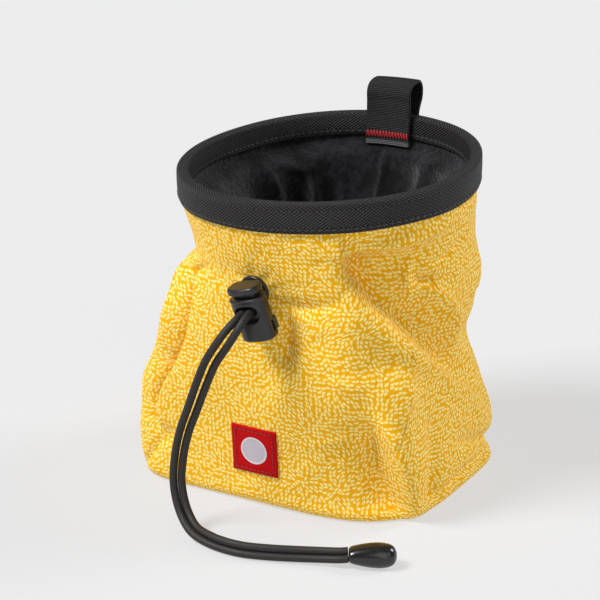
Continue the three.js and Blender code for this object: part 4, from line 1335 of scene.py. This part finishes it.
LOCK_VOXEL = 0.00020
LOCK_POWER = 2.7
LOCK_LOW_ROUND = 0.0012
LOCK_HIGH_ROUND = 0.0006
SHOULDER_PROUD = 0.0003
SHOULDER_HEIGHT = 0.0012
CLIP_WIDTH = 0.0018
CLIP_CORNER = 0.0007
CLIP_PROUD = 0.0006
CLIP_ASIDE = LOCK_DEPTH * 0.19
SLIT_WIDTH = 0.0026
SLIT_HEIGHT = 0.0046
SLIT_CORNER = 0.0005
SLIT_DEPTH = 0.0009
CAVITY_SIZE = (0.0100, 0.0054)
CAVITY_LOW = LOCK_LOW + 0.0042
GATE_SIZE = 0.0016
GATE_PLACE = (0.0022, 0.0034)
HEAD_LOW_ROUND = 0.0004
HEAD_HIGH_ROUND = 0.0009
HEAD_POWER = 3.2
SLOT_CORNER = 0.00124
SLOT_ASIDE = -0.0005
SLOT_LEVEL = 0.0009
STEM_SIZE = (0.0094, 0.0048)
SPRING_LENGTH = 0.0015
CORD_CLEARANCE = 0.0008


def lock_frame():
    turned = Matrix.Rotation(-LOCK_LEAN, 4, "Y") @ Matrix.Rotation(LOCK_PITCH, 4, "X")
    return Matrix.Translation(Vector(LOCK_PLACE)) @ turned


def upright(name, rows, power, sides=96):
    """A loft of ovals: rows of width, depth and level."""
    rings = []
    for width, depth, level in rows:
        x, y = superoval(width, depth, power, sides)
        rings.append(np.stack([x, y, np.full(sides, level)], -1))
    return skin(name, rings)


def rounded_rows(width, depth, low, high, low_round, high_round):
    """Rows of an upright body whose bottom and top edges are rounded."""
    rows = []
    for angle in np.radians(np.linspace(5, 85, 6)):
        inset = low_round * (1 - math.sin(angle))
        rows.append((width - 2 * inset, depth - 2 * inset, low + low_round * (1 - math.cos(angle))))
    for angle in np.radians(np.linspace(85, 5, 6)):
        inset = high_round * (1 - math.sin(angle))
        rows.append((width - 2 * inset, depth - 2 * inset, high - high_round * (1 - math.cos(angle))))
    return rows


def stadium_bar(name, width, height, corner, length, centre_x=0.0, centre_z=0.0):
    """A round-cornered bar along Y."""
    points = []
    for side_x, side_z, start in ((1, -1, -90), (1, 1, 0), (-1, 1, 90), (-1, -1, 180)):
        for angle in np.radians(np.linspace(start, start + 90, 9)):
            x = side_x * (width / 2 - corner) + corner * math.cos(angle)
            z = side_z * (height / 2 - corner) + corner * math.sin(angle)
            points.append((x + centre_x, 0, z + centre_z))
    ring = np.array(points)
    return skin(name, np.array([ring + (0, y, 0) for y in np.linspace(-length / 2, length / 2, 3)]))


def carved(target, *others, operation="DIFFERENCE"):
    """The target with the others cut away or joined on; the others are used up."""
    for other in others:
        bpy.context.view_layer.update()
        modified(target, "BOOLEAN", operation=operation, object=other, solver="EXACT")
        bpy.data.objects.remove(other)
    return target


def moulded(target, voxel, smoothing):
    """Rounds a carved body's edges as a moulding has them."""
    modified(target, "REMESH", mode="VOXEL", voxel_size=voxel, use_smooth_shade=True)
    modified(target, "SMOOTH", factor=0.5, iterations=smoothing)
    target.data.polygons.foreach_set("use_smooth", np.ones(len(target.data.polygons), bool))
    return target


def lock_body():
    width, depth, low, high = LOCK_WIDTH, LOCK_DEPTH, LOCK_LOW, LOCK_TOP
    case = rounded_rows(width, depth, low, high, LOCK_LOW_ROUND, LOCK_HIGH_ROUND)
    body = upright("cord_lock_case", case, LOCK_POWER)
    wide, deep = width + SHOULDER_PROUD, depth + SHOULDER_PROUD
    band = rounded_rows(wide, deep, high - SHOULDER_HEIGHT, high, 0.0003, 0.0004)
    shoulder = upright("shoulder", band, LOCK_POWER)
    clip_level = low + LOCK_HOLE_HEIGHT * 0.75
    clip = stadium_bar("clip", CLIP_WIDTH, LOCK_HOLE_HEIGHT * 0.8, CLIP_CORNER, depth * 0.26,
                       width / 2 - CLIP_PROUD, clip_level)
    clip.data.transform(Matrix.Translation((0, CLIP_ASIDE, 0)))
    carved(body, shoulder, clip, operation="UNION")
    slit = stadium_bar("slit", SLIT_WIDTH, SLIT_HEIGHT, SLIT_CORNER, SLIT_DEPTH,
                       width / 2 + 0.0002, low + SLIT_HEIGHT)
    slit.data.transform(Matrix.Translation((0, CLIP_ASIDE - 0.0016, 0)))
    corner = LOCK_HOLE_HEIGHT * 0.48
    passage = stadium_bar("passage", LOCK_HOLE_WIDTH, LOCK_HOLE_HEIGHT, corner, 2 * depth)
    cavity = upright("cavity", [(*CAVITY_SIZE, CAVITY_LOW), (*CAVITY_SIZE, high + 0.001)], 4)
    gate = upright("gate", [(GATE_SIZE, GATE_SIZE, end) for end in (-0.001, 0.001)], 2, 24)
    upended = Matrix.Rotation(math.pi / 2, 4, "X")
    across, up = GATE_PLACE
    gate.data.transform(Matrix.Translation((across, -depth / 2, low + up)) @ upended)
    gate.data.transform(Matrix.Translation((0, -0.00090, 0)))
    carved(body, passage, cavity, slit, gate)
    moulded(body, LOCK_VOXEL, 4)
    body.data.transform(lock_frame())
    return dressed(body, LOCK_PLASTIC, "bag", "lock_plastic", "cord_lock_body")


def lock_button():
    under = LOCK_TOP + BUTTON_GAP
    width, depth = LOCK_WIDTH - 0.0009, LOCK_DEPTH - 0.0007
    high = under + BUTTON_HEAD
    rows = rounded_rows(width, depth, under, high, HEAD_LOW_ROUND, HEAD_HIGH_ROUND)
    head = upright("cord_lock_plunger", rows, HEAD_POWER)
    stem_low = CAVITY_LOW + PIECE_GAP + SPRING_LENGTH
    stem = upright("stem", [(*STEM_SIZE, stem_low), (*STEM_SIZE, under + 0.001)], 4)
    carved(head, stem, operation="UNION")
    round_cord = CORD_DIAMETER + CORD_CLEARANCE
    slot = stadium_bar("slot", CORD_SPACING + round_cord, round_cord + SPRING_LENGTH, SLOT_CORNER,
                       2 * LOCK_DEPTH, SLOT_ASIDE, SLOT_LEVEL + SPRING_LENGTH / 2)
    carved(head, slot)
    moulded(head, LOCK_VOXEL, 3)
    head.data.transform(lock_frame())
    return dressed(head, LOCK_PLASTIC, "button", "lock_plastic", "cord_lock_button")


lock_body()
lock_button()


# The label

LABEL_CELLS = 56
LABEL_STITCH_INSET = 0.0016
LABEL_STITCH_PITCH = 0.0019
LABEL_STITCH_RADIUS = 0.00020


def label_place(across, up, out):
    """A point over the cloth at a place on the label, both in metres from its middle."""
    level = LABEL_LEVEL * BAG_HEIGHT
    middle = shell_surface(np.array([[LABEL_TURN]]), np.array([[level]]), 0)[0, 0] - BAG_AXIS
    x = middle[0] + across
    turn = np.arctan2(x, -middle[1])
    height = level + up
    smooth_rise = cloth_rise(turn, height)
    place = at_reach(turn, reach_at(turn, height / BAG_HEIGHT) + smooth_rise + out, height)
    place[..., 0] = x + BAG_AXIS[0]
    return place


def label():
    """A thin patch with softly rounded edges: rows of points over the front, then the back."""
    share = np.linspace(-1, 1, LABEL_CELLS + 1)
    across, up = np.meshgrid(share, share, indexing="ij")
    edge = np.maximum(np.abs(across), np.abs(up))
    half = LABEL_SIZE / 2
    front_out = PIECE_GAP + LABEL_THICKNESS * (1 - 0.45 * smooth(edge, 0.93, 1.0))
    sewn_in = np.exp(-(((edge * half - (half - LABEL_STITCH_INSET)) / 0.0006) ** 2)) * 0.00018
    front = label_place(across * half, up * half, front_out - sewn_in)
    back = label_place(across * half, up * half, 0.00012 + 0 * front_out)
    rings = np.concatenate([front, back[:, ::-1]], 1)
    flat = np.stack([across, up], -1) * half / MM
    around = np.concatenate([flat, flat[:, ::-1], flat[:, :1]], 1)
    made = skin("label_patch_piece", rings, around)
    return dressed(made, LABEL, "bag", "label_patch", "front_label")


def label_stitches():
    inset = LABEL_SIZE / 2 - LABEL_STITCH_INSET
    out = PIECE_GAP + LABEL_THICKNESS
    count = round(2 * inset / LABEL_STITCH_PITCH)
    corners = [(-inset, -inset), (inset, -inset), (inset, inset), (-inset, inset)]
    bundles = []
    for (x0, y0), (x1, y1) in zip(corners, corners[1:] + corners[:1]):
        for index in range(count):
            start, end = (
                label_place(np.array(x0 + (x1 - x0) * at), np.array(y0 + (y1 - y0) * at), out)
                for at in ((index + 0.12) / count, (index + 0.88) / count)
            )
            bundles.append(stitch(start, end, (0, -1, 0), LABEL_STITCH_RADIUS, bow=0.2))
    return dressed(joined("label_stitches", bundles), DARK_RED_THREAD, "bag", "red_thread")


label()
label_stitches()


# Floor and light


def make_floor():
    corners = [
        (x * FLOOR_HALF_SIZE, y * FLOOR_HALF_SIZE, 0) for x, y in ((-1, -1), (1, -1), (1, 1), (-1, 1))
    ]
    mesh = bpy.data.meshes.new("floor")
    mesh.from_pydata(corners, [], [(0, 1, 2, 3)])
    mesh.materials.append(floor_material())
    placed("floor", mesh)


def make_lights():
    world = bpy.data.worlds.new("studio")
    world.use_nodes = True
    background = world.node_tree.nodes["Background"].inputs
    background[0].default_value = (1.0, 1.0, 1.0, 1)
    background[1].default_value = WORLD_STRENGTH
    bpy.context.scene.world = world
    for name, direction, power, angle in SUNS:
        light = bpy.data.lights.new(name, "SUN")
        light.energy = power
        light.angle = math.radians(angle)
        aimed(name, light, direction)


make_floor()
make_lights()
bpy.context.scene.view_settings.view_transform = "Standard"
